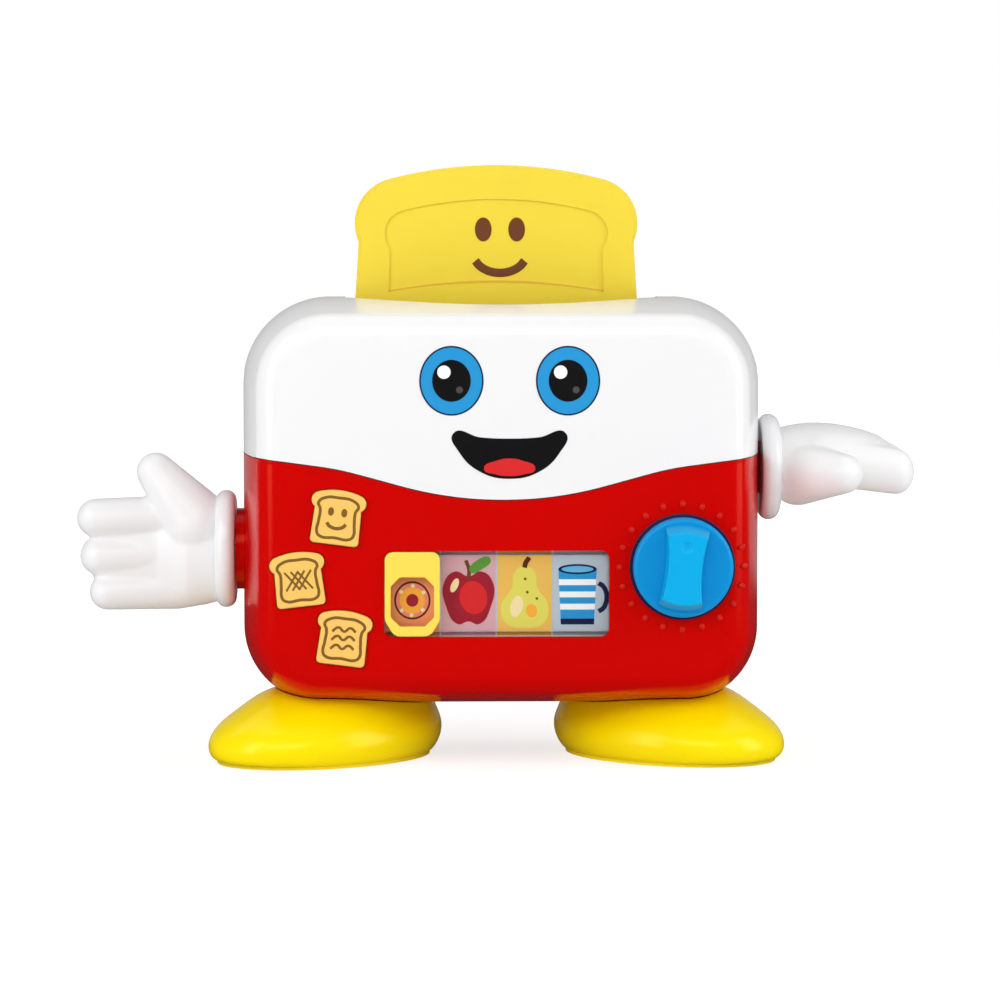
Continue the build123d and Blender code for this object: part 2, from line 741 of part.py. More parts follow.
def chassis_pieces():
    """Chassis plate with rod sockets, guide rods, lift springs and the latch magnet."""
    top = frame_height + frame_thickness
    plate = Pos(0, 0, frame_height + frame_thickness / 2) * extrude(
        RectangleRounded(frame_length, frame_depth, 4), amount=frame_thickness / 2, both=True
    )
    rods, screws = Part(), Part()
    for side in (-1, 1):
        x = side * rod_x
        plate += rod((x, 0, frame_height), (x, 0, top + socket_height), socket_radius)
        plate -= rod((x, 0, rod_foot - 1), (x, 0, top + socket_height + 1), rod_radius + screw_gap)
        rods += rod((x, 0, rod_foot), (x, 0, rod_foot + rod_length), rod_radius)
        for facing in (-1, 1):
            spot = (side * chassis_post_x, facing * chassis_post_y)
            plate -= rod((*spot, frame_height - 1), (*spot, top + 1), screw_radius + screw_gap)
            screws += screw((*spot, top), (*spot, frame_height - 7))
    plate += Pos(magnet_x, 0, 0) * tower_solid(top, magnet_bottom)
    low, high = top + socket_height + 0.3, eye_bottom + (eye_height - bush_length) / 2 - 0.3
    core = rod((magnet_x, 0, magnet_bottom), (magnet_x, 0, magnet_bottom + magnet_height), 3.0)
    core += rod((magnet_x, 0, magnet_bottom), (magnet_x, 0, magnet_bottom + 2), magnet_radius)
    core += tube(
        (magnet_x, 0, magnet_bottom),
        (magnet_x, 0, magnet_bottom + magnet_height),
        magnet_radius,
        magnet_radius - 1,
    )
    coil = tube(
        (magnet_x, 0, magnet_bottom + 2.1),
        (magnet_x, 0, magnet_bottom + magnet_height - 1),
        magnet_radius - 1.2,
        3.1,
    )
    return {
        "chassis_plate": plate,
        "guide_rods": rods,
        "chassis_screws": screws,
        "lift_springs": helix_spring(-rod_x, low, high) + helix_spring(rod_x, low, high),
        "magnet_core": core,
        "magnet_coil": coil,
    }


def tower_solid(low, high):
    """Ribbed post that lifts the latch magnet to its working height."""
    post = extrude(Pos(0, 0, low) * (Rectangle(15, 2.4) + Rectangle(2.4, 15)), amount=high - low)
    return post + extrude(Pos(0, 0, high - 2) * Circle(magnet_radius), amount=2)


def hand_form(mirrored):
    """A gloved hand: x runs from the cuff's face to the fingertips, y towards the thumb, z to the back of the hand."""
    ovals = []
    for along, across, up, half_wide, half_thick in palm_sections:
        at = Plane((along, across, up), x_dir=(0, 1, 0), z_dir=(1, 0, 0))
        ovals.append(at * Ellipse(half_wide, half_thick))
    hand = loft(ovals)
    for start, end, radius, tip in fingers:
        hand += finger(start, end, radius, tip)
    hand += rod((-peg_length, 0, 0), (1.0, 0, 0), peg_radius)
    return mirror(hand, Plane.XY) if mirrored else hand


def finger(start, end, radius, tip):
    """A tapered finger with a ball at each end."""
    line = Vector(*end) - Vector(*start)
    length = line.length
    lean = (radius - tip) / length
    along = sqrt(1 - lean**2)
    outline = [
        Line((-radius, 0), (length + tip, 0)),
        ThreePointArc(
            (length + tip, 0),
            (length + tip * sqrt((1 + lean) / 2), tip * sqrt((1 - lean) / 2)),
            (length + tip * lean, tip * along),
        ),
        Line((length + tip * lean, tip * along), (radius * lean, radius * along)),
        ThreePointArc(
            (radius * lean, radius * along),
            (-radius * sqrt((1 - lean) / 2), radius * sqrt((1 + lean) / 2)),
            (-radius, 0),
        ),
    ]
    side = line.cross(Vector(0, 0, 1)).normalized()
    half = Plane(start, x_dir=tuple(line.normalized()), z_dir=tuple(side)) * make_face(outline)
    return revolve(half, Axis(start, tuple(line)))


def cuff_form():
    """Thick rolled cuff, an oval ring with rounded edges, standing on the x = 0 plane of the hand."""
    oval = Plane((0, 0, 0), x_dir=(0, 1, 0), z_dir=(1, 0, 0)) * Ellipse(cuff_radius_thumbwards, cuff_radius_palmwards)
    ring = extrude(oval, amount=cuff_thickness)
    ring = fillet(ring.edges(), cuff_rounding)
    return ring - rod((cuff_thickness - peg_length, 0, 0), (cuff_thickness + 1, 0, 0), peg_radius)


def hand_pieces():
    """Both hands with their cuffs, and what holds the left one so that it can turn."""
    left_at = Plane((-left_cuff_x, 0, left_wrist_height), x_dir=(-1, 0, 0), z_dir=(0, 1, 0))
    right_at = Plane((right_cuff_x, 0, right_wrist_height), x_dir=(1, 0, 0), z_dir=(0, 0, -1))
    palm_at = Pos(cuff_thickness, 0, 0)
    left_hand = left_at * (palm_at * hand_form(False) - cuff_form())
    right_hand = right_at * (palm_at * hand_form(True) - cuff_form())
    left_cuff, right_cuff = left_at * cuff_form(), right_at * cuff_form()

    inner_end = -half_width + 9.5
    wrist = (-left_cuff_x, 0, left_wrist_height)
    spindle_end = (inner_end, 0, left_wrist_height)
    left_cuff += rod(wrist, spindle_end, spindle_radius)
    left_cuff -= rod((inner_end + 1, 0, left_wrist_height), (inner_end - 9, 0, left_wrist_height), screw_radius + screw_gap)
    washer = tube(
        (inner_end + 0.05, 0, left_wrist_height), (inner_end + 1.4, 0, left_wrist_height), collar_neck, screw_radius + screw_gap
    )
    wrist_screw = screw((inner_end + 1.45, 0, left_wrist_height), (inner_end - 7, 0, left_wrist_height))

    collar_outer = rod((-left_cuff_x + 0.4, 0, left_wrist_height), (-half_width + 6, 0, left_wrist_height), collar_radius)
    collar = collar_outer - pillow(-0.05)
    collar_end = (inner_end - 0.15, 0, left_wrist_height)
    collar += rod((-left_cuff_x + 0.4, 0, left_wrist_height), collar_end, collar_neck)
    flange_start = -half_width + wall + 1.9
    collar += rod((flange_start, 0, left_wrist_height), collar_end, collar_neck + 2.2)
    collar -= rod((-left_cuff_x - 5, 0, left_wrist_height), (0, 0, left_wrist_height), spindle_radius + running_gap)

    socket = Box(2 * blade_socket, 2 * blade_half_thickness, 2 * blade_half_height)
    right_cuff -= Pos(right_cuff_x, 0, right_wrist_height) * socket
    return {
        "left_hand": left_hand,
        "left_cuff": left_cuff,
        "left_wrist_washer": washer,
        "left_wrist_screw": wrist_screw,
        "shoulder_collar": collar,
        "lever_hand": right_hand,
        "lever_cuff": right_cuff,
    }


def button_pieces():
    """Three slice-shaped buttons and the rubber domes that push them back."""
    pieces = {}
    cap_end = front + wall + button_guide + 0.4
    for name, (x, z, _) in buttons.items():
        cap = front_face(at_button(name, button_outline()), front - button_proud, cap_end - front + button_proud)
        cap = fillet(cap.faces().sort_by(Axis.Y)[0].edges(), 0.8)
        flange = front_face(at_button(name, button_outline(button_gap + 1.0)), cap_end, button_flange)
        plunger = rod((x, cap_end, z), (x, board_y - dome_height - 0.2, z), plunger_radius)
        pieces[f"toast_button_{name}"] = cap + flange + plunger
        profile = make_face(
            [
                Line((0, 0), (dome_radius, 0)),
                Line((dome_radius, 0), (dome_radius, 0.8)),
                Line((dome_radius, 0.8), (dome_radius * 0.6, dome_height)),
                Line((dome_radius * 0.6, dome_height), (0, dome_height)),
                Line((0, dome_height), (0, 0)),
            ]
        )
        seat = Plane((x, board_y - 0.02, z), x_dir=(1, 0, 0), z_dir=(0, 0, 1))
        dome = revolve(seat * mirror(profile, Plane.XZ), Axis((x, 0, z), (0, 1, 0)))
        pieces[f"rubber_dome_{name}"] = dome
    return pieces


def window_pieces():
    """Clear lens, printed card, light box and sliding selector of the picture window."""
    middle_x = (window_left + window_right) / 2
    middle_z = (window_bottom + window_top) / 2
    lens_height = window_height - 2 * window_slot
    pad = Pos(middle_x, middle_z) * RectangleRounded(window_width - 0.3, lens_height, window_corner - 0.6)
    plate = Pos(middle_x, middle_z) * Rectangle(window_width + 2 * lens_ear, lens_height)
    behind = inner_front + 0.1
    lens = front_face(pad, lens_front, lens_thickness) + front_face(plate, behind, lens_back - behind)
    card_y = lens_back + 0.05
    card = front_face(Pos(middle_x, middle_z) * Rectangle(window_width, lens_height - 0.6), card_y, card_thickness)
    box_y = card_y + card_thickness + 0.05
    box_depth = board_y - 0.3 - box_y
    light_box = Pos(middle_x, middle_z) * Rectangle(window_width, lens_height - 1.4)
    cells = Sketch()
    for i in range(window_cells):
        cell = Rectangle(cell_width - 1.4, lens_height - 4.2)
        cells += Pos(window_left + cell_width * (i + 0.5), middle_z) * cell
    light_box = front_face(light_box - cells, box_y, box_depth)
    catch_y = inner_front + 0.4
    leg_end = catch_y + 2.6
    rims = Rectangle(window_width, window_height + 2 * light_rim)
    rims -= Rectangle(window_width, lens_height - 2 * light_rim_inset)
    light_box += front_face(Pos(middle_x, middle_z) * rims, leg_end + selector_gap, light_rim)
    lamps = Part()
    for i in range(window_cells):
        x = window_left + cell_width * (i + 0.5)
        lamps += rod((x, board_y, middle_z), (x, board_y - 5.0, middle_z), 2.5)
        lamps += Pos(x, board_y - 5.0, middle_z) * Sphere(2.5)
        lamps += rod((x, board_y, middle_z), (x, board_y - 1.0, middle_z), 2.9)

    back = lens_front - 0.2
    face = front - selector_proud
    half_height = window_height / 2 - selector_gap
    half_span = selector_width / 2
    outline = make_face(
        Polyline(
            (-half_span, half_height),
            (half_span, half_height),
            (half_span, -half_height + selector_foot_height),
            (half_span - selector_foot_inset, -half_height),
            (-half_span + selector_foot_inset, -half_height),
            (-half_span, -half_height + selector_foot_height),
            close=True,
        )
    )
    corners = outline.vertices().group_by(Axis.Y)
    outline = fillet([*corners[0], *corners[1]], selector_foot_corner)
    outline = fillet(outline.vertices().group_by(Axis.Y)[-1], window_corner)
    sight = Pos(0, -sight_drop) * Rectangle(selector_width - 2 * sight_side, sight_height)
    sight = chamfer(sight.vertices(), sight_chamfer)
    sight = fillet(sight.vertices(), sight_rounding)
    start_x = window_left + cell_width / 2
    selector = front_face(Pos(start_x, middle_z) * (outline - sight), face, back - face)
    selector = fillet(selector.faces().sort_by(Axis.Y)[0].edges(), 0.6)
    leg_z = half_height - selector_leg / 2
    for side in (-1, 1):
        z = middle_z + side * leg_z
        leg = Pos(start_x, (back + leg_end) / 2, z) * Box(9, leg_end - back, selector_leg)
        barb_z = z + side * (selector_leg + selector_barb) / 2 - side * 0.2
        barb = Pos(start_x, (catch_y + leg_end) / 2, barb_z) * Box(9, leg_end - catch_y, selector_barb)
        foot = Pos(start_x, back - 0.6, z) * Box(9, 1.2, selector_leg)
        selector += leg + barb + foot
    return {
        "window_lens": lens,
        "picture_card": card,
        "light_box": light_box,
        "window_lamps": lamps,
        "picture_selector": selector,
    }


def board_pieces():
    """Circuit board behind the front wall and the screws that hold it."""
    outline = Pos((board_left + board_right) / 2, (board_bottom + board_top) / 2) * RectangleRounded(
        board_right - board_left, board_top - board_bottom, 3
    )
    board = front_face(outline, board_y, board_thickness) & pillow(wall + 1.0)
    screws = Part()
    for x, z in board_posts:
        board -= rod((x, board_y - 1, z), (x, board_y + 5, z), screw_radius + screw_gap)
        screws += screw((x, board_y + board_thickness, z), (x, board_y - 6, z))
    for x, z in joint_screws:
        board -= rod((-x, board_y - 1, z), (-x, board_y + 5, z), joint_post_radius + 0.5)
    chip = Pos(-20, board_y + board_thickness + 1.0, 92) * Box(14, 2.0, 14)
    sealed = Pos(14, board_y + board_thickness + 0.6, 92) * Box(22, 1.2, 12)
    return {"circuit_board": board, "board_chips": chip + sealed, "board_screws": screws}


def knob_pieces():
    """Timer knob, its shaft with detent wheel, the click spring and the rotary switch."""
    back = front - knob_lift
    face = back - knob_height
    disc = rod((knob_x, back, knob_z), (knob_x, face, knob_z), knob_radius)
    disc = fillet(disc.faces().sort_by(Axis.Y)[0].edges(), knob_edge)
    top = face - grip_rise
    foot = grip_outline(grip_foot_length, grip_foot_spread)
    ridge = loft([at_front(face + 0.5) * foot, at_front(top) * grip_outline(grip_length, 0)])
    ridge &= rod((knob_x, back, knob_z), (knob_x, top - 1, knob_z), knob_radius - knob_edge)
    ridge = fillet(ridge.faces().sort_by(Axis.Y)[0].edges(), grip_edge)
    lean = radians(grip_lean)
    dimple = (knob_x + dimple_up * sin(lean), top - dimple_radius + dimple_depth, knob_z + dimple_up * cos(lean))
    ridge -= Pos(*dimple) * Sphere(dimple_radius)
    knob = disc + ridge
    shaft_end = back + shaft_length
    shaft = rod((knob_x, back + 0.02, knob_z), (knob_x, shaft_end, knob_z), shaft_radius)
    wheel_y = board_y - 6.4
    teeth = Circle(wheel_radius - 1.0)
    for i in range(wheel_teeth):
        teeth += Rot(0, 0, 360 * (i + 0.5) / wheel_teeth) * Pos(wheel_radius - 1.0, 0) * Circle(0.9)
    wheel = front_face(Pos(knob_x, knob_z) * (teeth - Circle(shaft_radius + 0.05)), wheel_y, wheel_thickness)
    box_y = board_y + 0.1
    case = RectangleRounded(24, 24, 2)
    for x, z in switch_posts():
        ear = Pos(x - knob_x, z - knob_z) * Circle(4.2)
        arm = Pos((x - knob_x) * 0.8, (z - knob_z) * 0.8) * Circle(4.2)
        case += ear + arm
    switch = front_face(Pos(knob_x, knob_z) * case, box_y, 2.0)
    switch += front_face(Pos(knob_x, knob_z) * RectangleRounded(24, 24, 2), box_y, 9.0)
    switch -= rod((knob_x, box_y - 1, knob_z), (knob_x, shaft_end + 0.6, knob_z), shaft_radius + 0.1)
    screws = Part()
    for x, z in switch_posts():
        switch -= rod((x, box_y - 1, z), (x, box_y + 5, z), screw_radius + screw_gap)
        screws += screw((x, box_y + 2.0, z), (x, board_y - 6, z))
    strip_z = knob_z + wheel_radius + 1.2
    strip = Polyline(
        (-12.4, 0.3), (-2.2, 0.3), (0.0, -1.1), (2.2, 0.3), (12.4, 0.3), (12.4, 0.8), (-12.4, 0.8), close=True
    )
    strip = front_face(Pos(knob_x, strip_z) * make_face(strip), wheel_y + 0.5, wheel_thickness - 1.0)
    for side in (-11.0, 11.0):
        peg_end = (knob_x + side, wheel_y + 0.5, strip_z + 0.55)
        switch += rod((knob_x + side, box_y + 1.0, strip_z + 0.55), peg_end, 1.8)
    switch -= strip
    return {
        "timer_knob": knob,
        "knob_shaft": shaft,
        "detent_wheel": wheel,
        "detent_spring": strip,
        "timer_switch": switch,
        "switch_screws": screws,
    }


def at_front(y):
    """Plane that faces the front at y, for outlines drawn with x to the right and y upwards."""
    return Plane((0, y, 0), x_dir=(1, 0, 0), z_dir=(0, -1, 0))


def grip_outline(length, spread):
    """Bow-tie finger grip on the knob's axis, leaning a little clockwise; spread widens its sides."""
    x, waist, z = grip_end_width / 2 + spread, grip_waist / 2 + spread, length / 2 - grip_bow
    outline = [
        ThreePointArc((-x, -z), (-waist, 0), (-x, z)),
        ThreePointArc((-x, z), (0, z + grip_bow), (x, z)),
        ThreePointArc((x, z), (waist, 0), (x, -z)),
        ThreePointArc((x, -z), (0, -z - grip_bow), (-x, -z)),
    ]
    return Pos(knob_x, knob_z) * Rot(0, 0, -grip_lean) * make_face(outline)


def rear_pieces():
    """Battery tray with its cells, contacts and door, the speaker and the power switch."""
    tray_height = door_height + 3.0
    tray_width = door_width + 3.0
    tray_back = inner_rear - 0.1
    middle_z = tray_middle
    tray = front_face(Pos(0, middle_z) * Rectangle(tray_width, tray_height), tray_back - tray_depth, tray_depth)
    first = door_bottom + cell_radius + 0.8
    bay_top = first + (cell_count - 1) * cell_pitch + cell_radius + 0.4
    bay_low = first - cell_radius - 0.4
    bay = Pos(0, (bay_low + bay_top) / 2) * Rectangle(door_width - 4, bay_top - bay_low)
    tray -= front_face(bay, tray_back - tray_depth + tray_wall, tray_depth)
    cells, contacts = Part(), Part()
    cell_y = tray_back - tray_depth + tray_wall + cell_radius + 0.3
    for i in range(cell_count):
        z = first + i * cell_pitch
        side = 1 if i % 2 == 0 else -1
        cells += rod((-side * cell_length / 2, cell_y, z), (side * (cell_length / 2 - 1.2), cell_y, z), cell_radius)
        cells += rod((side * (cell_length / 2 - 1.2), cell_y, z), (side * cell_length / 2, cell_y, z), 2.7)
        plate_x = side * (door_width / 2 - 2.3)
        contacts += Pos(plate_x, cell_y, z) * Box(0.5, 10, 10)
        coil = rod((-side * (door_width / 2 - 2.1), cell_y, z), (-side * (cell_length / 2 + 0.3), cell_y, z), 3.0)
        contacts += coil
    boss_end = inner_rear - 2.2
    tray -= rod((0, boss_end - 0.1, door_screw_z), (0, rear, door_screw_z), door_boss_radius + 0.2)
    tray -= rod((0, boss_end - 9, door_screw_z), (0, rear, door_screw_z), screw_radius + screw_gap)
    tray_screws = Part()
    for side in (-1, 1):
        tray -= Pos(side * door_tab_x, tray_back - 2.5, door_bottom + 1.0) * Box(door_tab_width + 2, 6.0, 12.0)
        lug_x = side * tray_lug_x
        reach = tray_lug_x + post_radius - tray_width / 2
        lug_at = Pos(lug_x + side * (post_radius - reach / 2), tray_lug_y - 1.05, middle_z)
        tray += lug_at * Box(reach, 2.0, 2 * post_radius)
        tray -= rod((lug_x, tray_lug_y - 5, middle_z), (lug_x, tray_lug_y + 3, middle_z), screw_radius + screw_gap)
        tray_screws += screw((lug_x, tray_lug_y - 2.1, middle_z), (lug_x, tray_lug_y + 6, middle_z))

    panel = Pos(0, middle_z) * RectangleRounded(door_width, door_height, 1.2)
    door = front_face(panel, inner_rear, wall)
    grips = Sketch()
    for i in range(5):
        grips += Pos(0, door_bottom + 8 + 3.2 * i) * SlotOverall(26, 1.2)
    door -= front_face(grips, rear - 0.6, 2)
    door += rod((0, boss_end, door_screw_z), (0, rear, door_screw_z), door_boss_radius)
    screw_seat = rear - screw_head_height - 0.5
    door -= rod((0, screw_seat, door_screw_z), (0, rear + 1, door_screw_z), screw_head + 0.3)
    door -= rod((0, boss_end - 1, door_screw_z), (0, rear, door_screw_z), screw_radius + screw_gap)
    for side in (-1, 1):
        door += Pos(side * door_tab_x, inner_rear - 0.7, door_bottom + 0.5) * Box(door_tab_width, 1.3, 7.0)
        door += Pos(side * door_tab_x, inner_rear - 0.2, door_bottom + 2.3) * Box(door_tab_width, 0.6, 3.0)
    door_screw = screw((0, screw_seat, door_screw_z), (0, boss_end - 6, door_screw_z))
    way = inner_rear - 0.1
    driver = make_face(
        Polyline(
            (0, 0),
            (speaker_radius, 0),
            (speaker_radius, -1.6),
            (speaker_radius - 1.5, -1.6),
            (speaker_radius * 0.55, -6.0),
            (speaker_radius * 0.55, -11.0),
            (0, -11.0),
            close=True,
        )
    )
    seat = Plane((speaker_x, way, speaker_z), x_dir=(1, 0, 0), z_dir=(0, 0, 1))
    axis = Axis((speaker_x, 0, speaker_z), (0, 1, 0))
    basket = revolve(seat * driver, axis)
    cone = make_face(
        Polyline(
            (0, -2.6),
            (speaker_radius * 0.3, -2.8),
            (speaker_radius - 2.6, -0.2),
            (speaker_radius - 2.6, 1),
            (0, 1),
            close=True,
        )
    )
    basket -= revolve(seat * cone, axis)
    membrane = make_face(
        Polyline(
            (0, -2.3), (speaker_radius * 0.3, -2.5), (speaker_radius - 3.4, -0.3), (speaker_radius - 4.4, -0.3), (0, -1.7), close=True
        )
    )
    diaphragm = revolve(seat * membrane, axis)
    slider_y = inner_rear - 0.1
    case = Pos(switch_x, slider_y - 3.5, switch_z) * Box(18, 7.0, 8.0)
    case += Pos(switch_x, slider_y - 0.4, switch_z) * Box(24, 0.8, 8.0)
    runway = Pos(switch_x, slider_y - 1.5, switch_z) * Box(switch_thumb + switch_travel + 3.2, 4.0, 4.6)
    case -= runway
    thumb_x = switch_x - switch_travel / 2
    for x in (-10, 10):
        case -= rod((switch_x + x, rear, switch_z), (switch_x + x, inner_rear - 2, switch_z), 1.25)
    thumb = Pos(thumb_x, (slider_y - 3.4 + rear - 0.4) / 2, switch_z) * Box(
        switch_thumb, rear - 0.4 - slider_y + 3.4, 3.8
    )
    return {
        "battery_tray": tray,
        "tray_screws": tray_screws,
        "battery_cells": cells,
        "battery_contacts": contacts,
        "battery_door": door,
        "door_screw": door_screw,
        "speaker_basket": basket,
        "speaker_cone": diaphragm,
        "power_switch": case,
        "switch_thumb": thumb,
    }


def foot_loft(place, shrink, lift):
    """Shoe-shaped dome of a foot on the left: ovals that shrink and move towards the heel as they rise."""
    x, y, turn = place
    ovals = []
    for height, share, shift in foot_sections:
        oval = Ellipse(foot_long * share - shrink, foot_short * share - shrink)
        heel = Pos(shift * cos(radians(turn)), shift * sin(radians(turn)))
        ovals.append(Pos(-x, y, height + lift) * heel * Rot(0, 0, turn) * oval)
    return loft(ovals)


def foot_set(place):
    """Shoe, sole and screws of one foot, built on the left of the body."""
    foot_x, foot_y, turn = place
    body, body_clear = pillow(-foot_gap), pillow(-foot_gap - foot_wall)
    shoe = foot_loft(place, 0, 0) - body
    cavity = foot_loft(place, foot_wall, -foot_wall) + foot_loft(place, foot_wall, 0) - body_clear
    shell = shoe - cavity
    share = foot_sections[0][1]
    at = Pos(-foot_x, foot_y, 0) * Rot(0, 0, turn)
    sole = extrude(at * Ellipse(foot_long * share, foot_short * share), amount=sole_thickness)
    plug = Ellipse(foot_long * share - foot_wall - 0.3, foot_short * share - foot_wall - 0.3)
    sole += extrude(Pos(0, 0, sole_thickness) * at * plug, amount=sole_plug - sole_thickness)
    sole_screws, foot_screws = Part(), Part()
    for reach in (-sole_screw_reach, sole_screw_reach):
        away = Vector(reach, 0, 0).rotate(Axis.Z, turn)
        x, y = -foot_x + away.X, foot_y + away.Y
        seat = sole_recess + screw_head_height
        shell += rod((x, y, sole_plug + 0.1), (x, y, body_bottom + 20), post_radius) & shoe
        shell -= rod((x, y, 0), (x, y, sole_plug + 8), screw_radius + screw_gap)
        sole -= rod((x, y, -1), (x, y, sole_plug + 1), screw_radius + screw_gap)
        sole -= rod((x, y, -1), (x, y, seat), screw_head + 0.3)
        sole_screws += screw((x, y, seat), (x, y, sole_plug + 7))
    for y in foot_screw_y.values():
        seat = body_bottom - foot_gap - foot_wall
        pad = rod((-foot_x, y, seat), (-foot_x, y, body_bottom + 6), screw_head + 1.5) - body
        shell += pad & shoe
        shell -= rod((-foot_x, y, seat - 6), (-foot_x, y, seat), screw_head + 0.3)
        shell -= rod((-foot_x, y, seat - 6), (-foot_x, y, body_bottom + 6), screw_radius + screw_gap)
        foot_screws += screw((-foot_x, y, seat), (-foot_x, y, body_bottom + foot_boss_height - 4))
    return shell, sole, sole_screws, foot_screws


def foot_pieces():
    """Both feet: hollow shoe, sole plate and the screws that hold them."""
    left = foot_set(foot_places[-1])
    right = [mirror(piece, Plane.YZ) for piece in foot_set(foot_places[1])]
    return {
        "left_foot": left[0],
        "left_sole": left[1],
        "right_foot": right[0],
        "right_sole": right[1],
        "sole_screws": left[2] + right[2],
        "foot_screws": left[3] + right[3],
    }


def joint_screw_pieces():
    """Long screws that pull the rear housing onto the front housing."""
    screws = Part()
    for x, z in joint_screws:
        for side in (-x, x):
            screws += screw((side, joint_screw_seat + 0.05, z), (side, -10, z))
    return {"housing_screws": screws}


def build():
    """Every piece of the toy by name."""
    pieces = {}
    inner_screws = ("chassis_screws", "chute_screws", "tray_screws", "board_screws", "switch_screws")
    for group in (
        shell_pieces,
        toast_pieces,
        carriage_pieces,
        chassis_pieces,
        hand_pieces,
        button_pieces,
        window_pieces,
        board_pieces,
        knob_pieces,
        rear_pieces,
        foot_pieces,
        joint_screw_pieces,
    ):
        pieces.update(group())
    pieces["inner_screws"] = Compound(children=[solid for key in inner_screws for solid in pieces.pop(key).solids()])
    return pieces


os.makedirs("parts", exist_ok=True)
for name, piece in build().items():
    export_step(Pos(0, origin_y, 0) * piece, f"parts/{name}.step")
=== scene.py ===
"""Toy toaster: studio, finishes, moulded details and prints, built over the fixed frame of its solids."""

from __future__ import annotations

import json
import logging
import math
from contextlib import contextmanager
from dataclasses import dataclass
from enum import Enum
from typing import Any, Callable, Iterable, Iterator, Sequence

import bmesh
import bpy
from mathutils import Euler, Matrix, Vector


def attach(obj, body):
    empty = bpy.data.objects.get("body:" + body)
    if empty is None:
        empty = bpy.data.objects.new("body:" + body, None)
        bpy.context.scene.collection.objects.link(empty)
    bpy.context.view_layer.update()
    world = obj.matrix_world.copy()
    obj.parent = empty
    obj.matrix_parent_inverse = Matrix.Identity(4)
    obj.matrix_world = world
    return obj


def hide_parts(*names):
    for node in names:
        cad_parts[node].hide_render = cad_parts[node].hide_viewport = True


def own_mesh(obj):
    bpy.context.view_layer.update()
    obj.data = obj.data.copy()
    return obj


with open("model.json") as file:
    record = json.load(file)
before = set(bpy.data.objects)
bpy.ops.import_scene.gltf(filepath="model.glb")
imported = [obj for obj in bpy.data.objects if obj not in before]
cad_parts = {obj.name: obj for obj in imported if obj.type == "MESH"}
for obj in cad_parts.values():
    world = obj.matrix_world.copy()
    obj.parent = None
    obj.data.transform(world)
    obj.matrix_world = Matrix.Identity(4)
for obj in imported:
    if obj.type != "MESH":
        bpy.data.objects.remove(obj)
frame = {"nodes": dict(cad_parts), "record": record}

LOG = logging.getLogger("toy_toaster")
MM = 0.001
MID = 6.5  # from the frame's origin back to the middle plane of the body, in millimetres
HALF_WIDTH = 99.0
HALF_DEPTH = 45.0
FRONT = MID - HALF_DEPTH  # the flat front wall
CARD_LEVEL = FRONT + 1.6 + 1.8 + 0.05  # behind the sunk lens, the lens itself and a gap
BUTTON_LEVEL = FRONT - 1.8
SLICE_PANEL = MID - 6.0 + 0.7  # half the slice's thickness forward, less the depth of its sunk panel
# The knob's painted highlight starts and is full over this span along Y
KNOB_GRIP = (FRONT - 6.4, FRONT - 8.4)  # where the knob's grip starts and where it is all grip
LOOK_FROM = FRONT - 20.0  # where lines of sight onto the front start
BACKWARDS = Vector((0.0, 1.0, 0.0))
LEVER_TRAVEL = 40.0
BUTTON_TRAVEL = 2.5
PURE_WHITE = (1.0, 1.0, 1.0, 1.0)
TINT_CELLS, GLOSS_CELLS = 35.0, 60.0  # cells per metre in which a surface's colour and gloss vary
PRINT_CREASE, TRIM_CREASE = 40.0, 50.0  # prints and springs, and trim, keep edges sharper than this

Object = bpy.types.Object
Tree = bpy.types.NodeTree
Socket = bpy.types.NodeSocket
Point2 = tuple[float, float]
Point3 = tuple[float, float, float]
Colour = tuple[float, float, float]


# ---- selecting and shaping
def deselect() -> None:
    """Leaves nothing selected and nothing in edit mode."""
    if bpy.context.object and bpy.context.object.mode != "OBJECT":
        bpy.ops.object.mode_set(mode="OBJECT")
    bpy.ops.object.select_all(action="DESELECT")


def pick(*objects: Object) -> None:
    """Selects these objects alone and makes the first one active.

    Args:
        objects: What to select.
    """
    deselect()
    for obj in objects:
        obj.select_set(True)
    bpy.context.view_layer.objects.active = objects[0]


@contextmanager
def editing(obj: Object) -> Iterator[None]:
    """Holds an object in edit mode, with all of it selected at first.

    Args:
        obj: The mesh to edit.
    """
    pick(obj)
    bpy.ops.object.mode_set(mode="EDIT")
    bpy.ops.mesh.select_all(action="SELECT")
    yield
    bpy.ops.object.mode_set(mode="OBJECT")


def settle(obj: Object) -> None:
    """Puts an object's place, turn and size into its mesh."""
    pick(obj)
    bpy.ops.object.transform_apply(location=True, rotation=True, scale=True)


def adjust(target: Any, **settings: Any) -> None:
    """Sets several attributes of one thing."""
    for name, value in settings.items():
        setattr(target, name, value)


def modify(obj: Object, kind: str, **settings: Any) -> None:
    """Adds a modifier to an object and applies it.

    Args:
        obj: The mesh.
        kind: Type of the modifier.
        settings: The modifier's own settings.
    """
    modifier = obj.modifiers.new(kind.lower(), kind)
    adjust(modifier, **settings)
    pick(obj)
    bpy.ops.object.modifier_apply(modifier=modifier.name)


def primitive(add: Callable[..., set[str]], **settings: Any) -> Object:
    """Adds one of Blender's basic meshes, alone in the selection.

    Args:
        add: The operator that adds it.
        settings: The operator's own settings.

    Returns:
        The new object.
    """
    deselect()
    add(**settings)
    return bpy.context.view_layer.objects.active


def put(name: str, data: bpy.types.ID) -> Object:
    """Puts a new object into the scene.

    Args:
        name: The object's name.
        data: Its mesh, curve, light or camera.

    Returns:
        The new object.
    """
    obj = bpy.data.objects.new(name, data)
    bpy.context.scene.collection.objects.link(obj)
    return obj


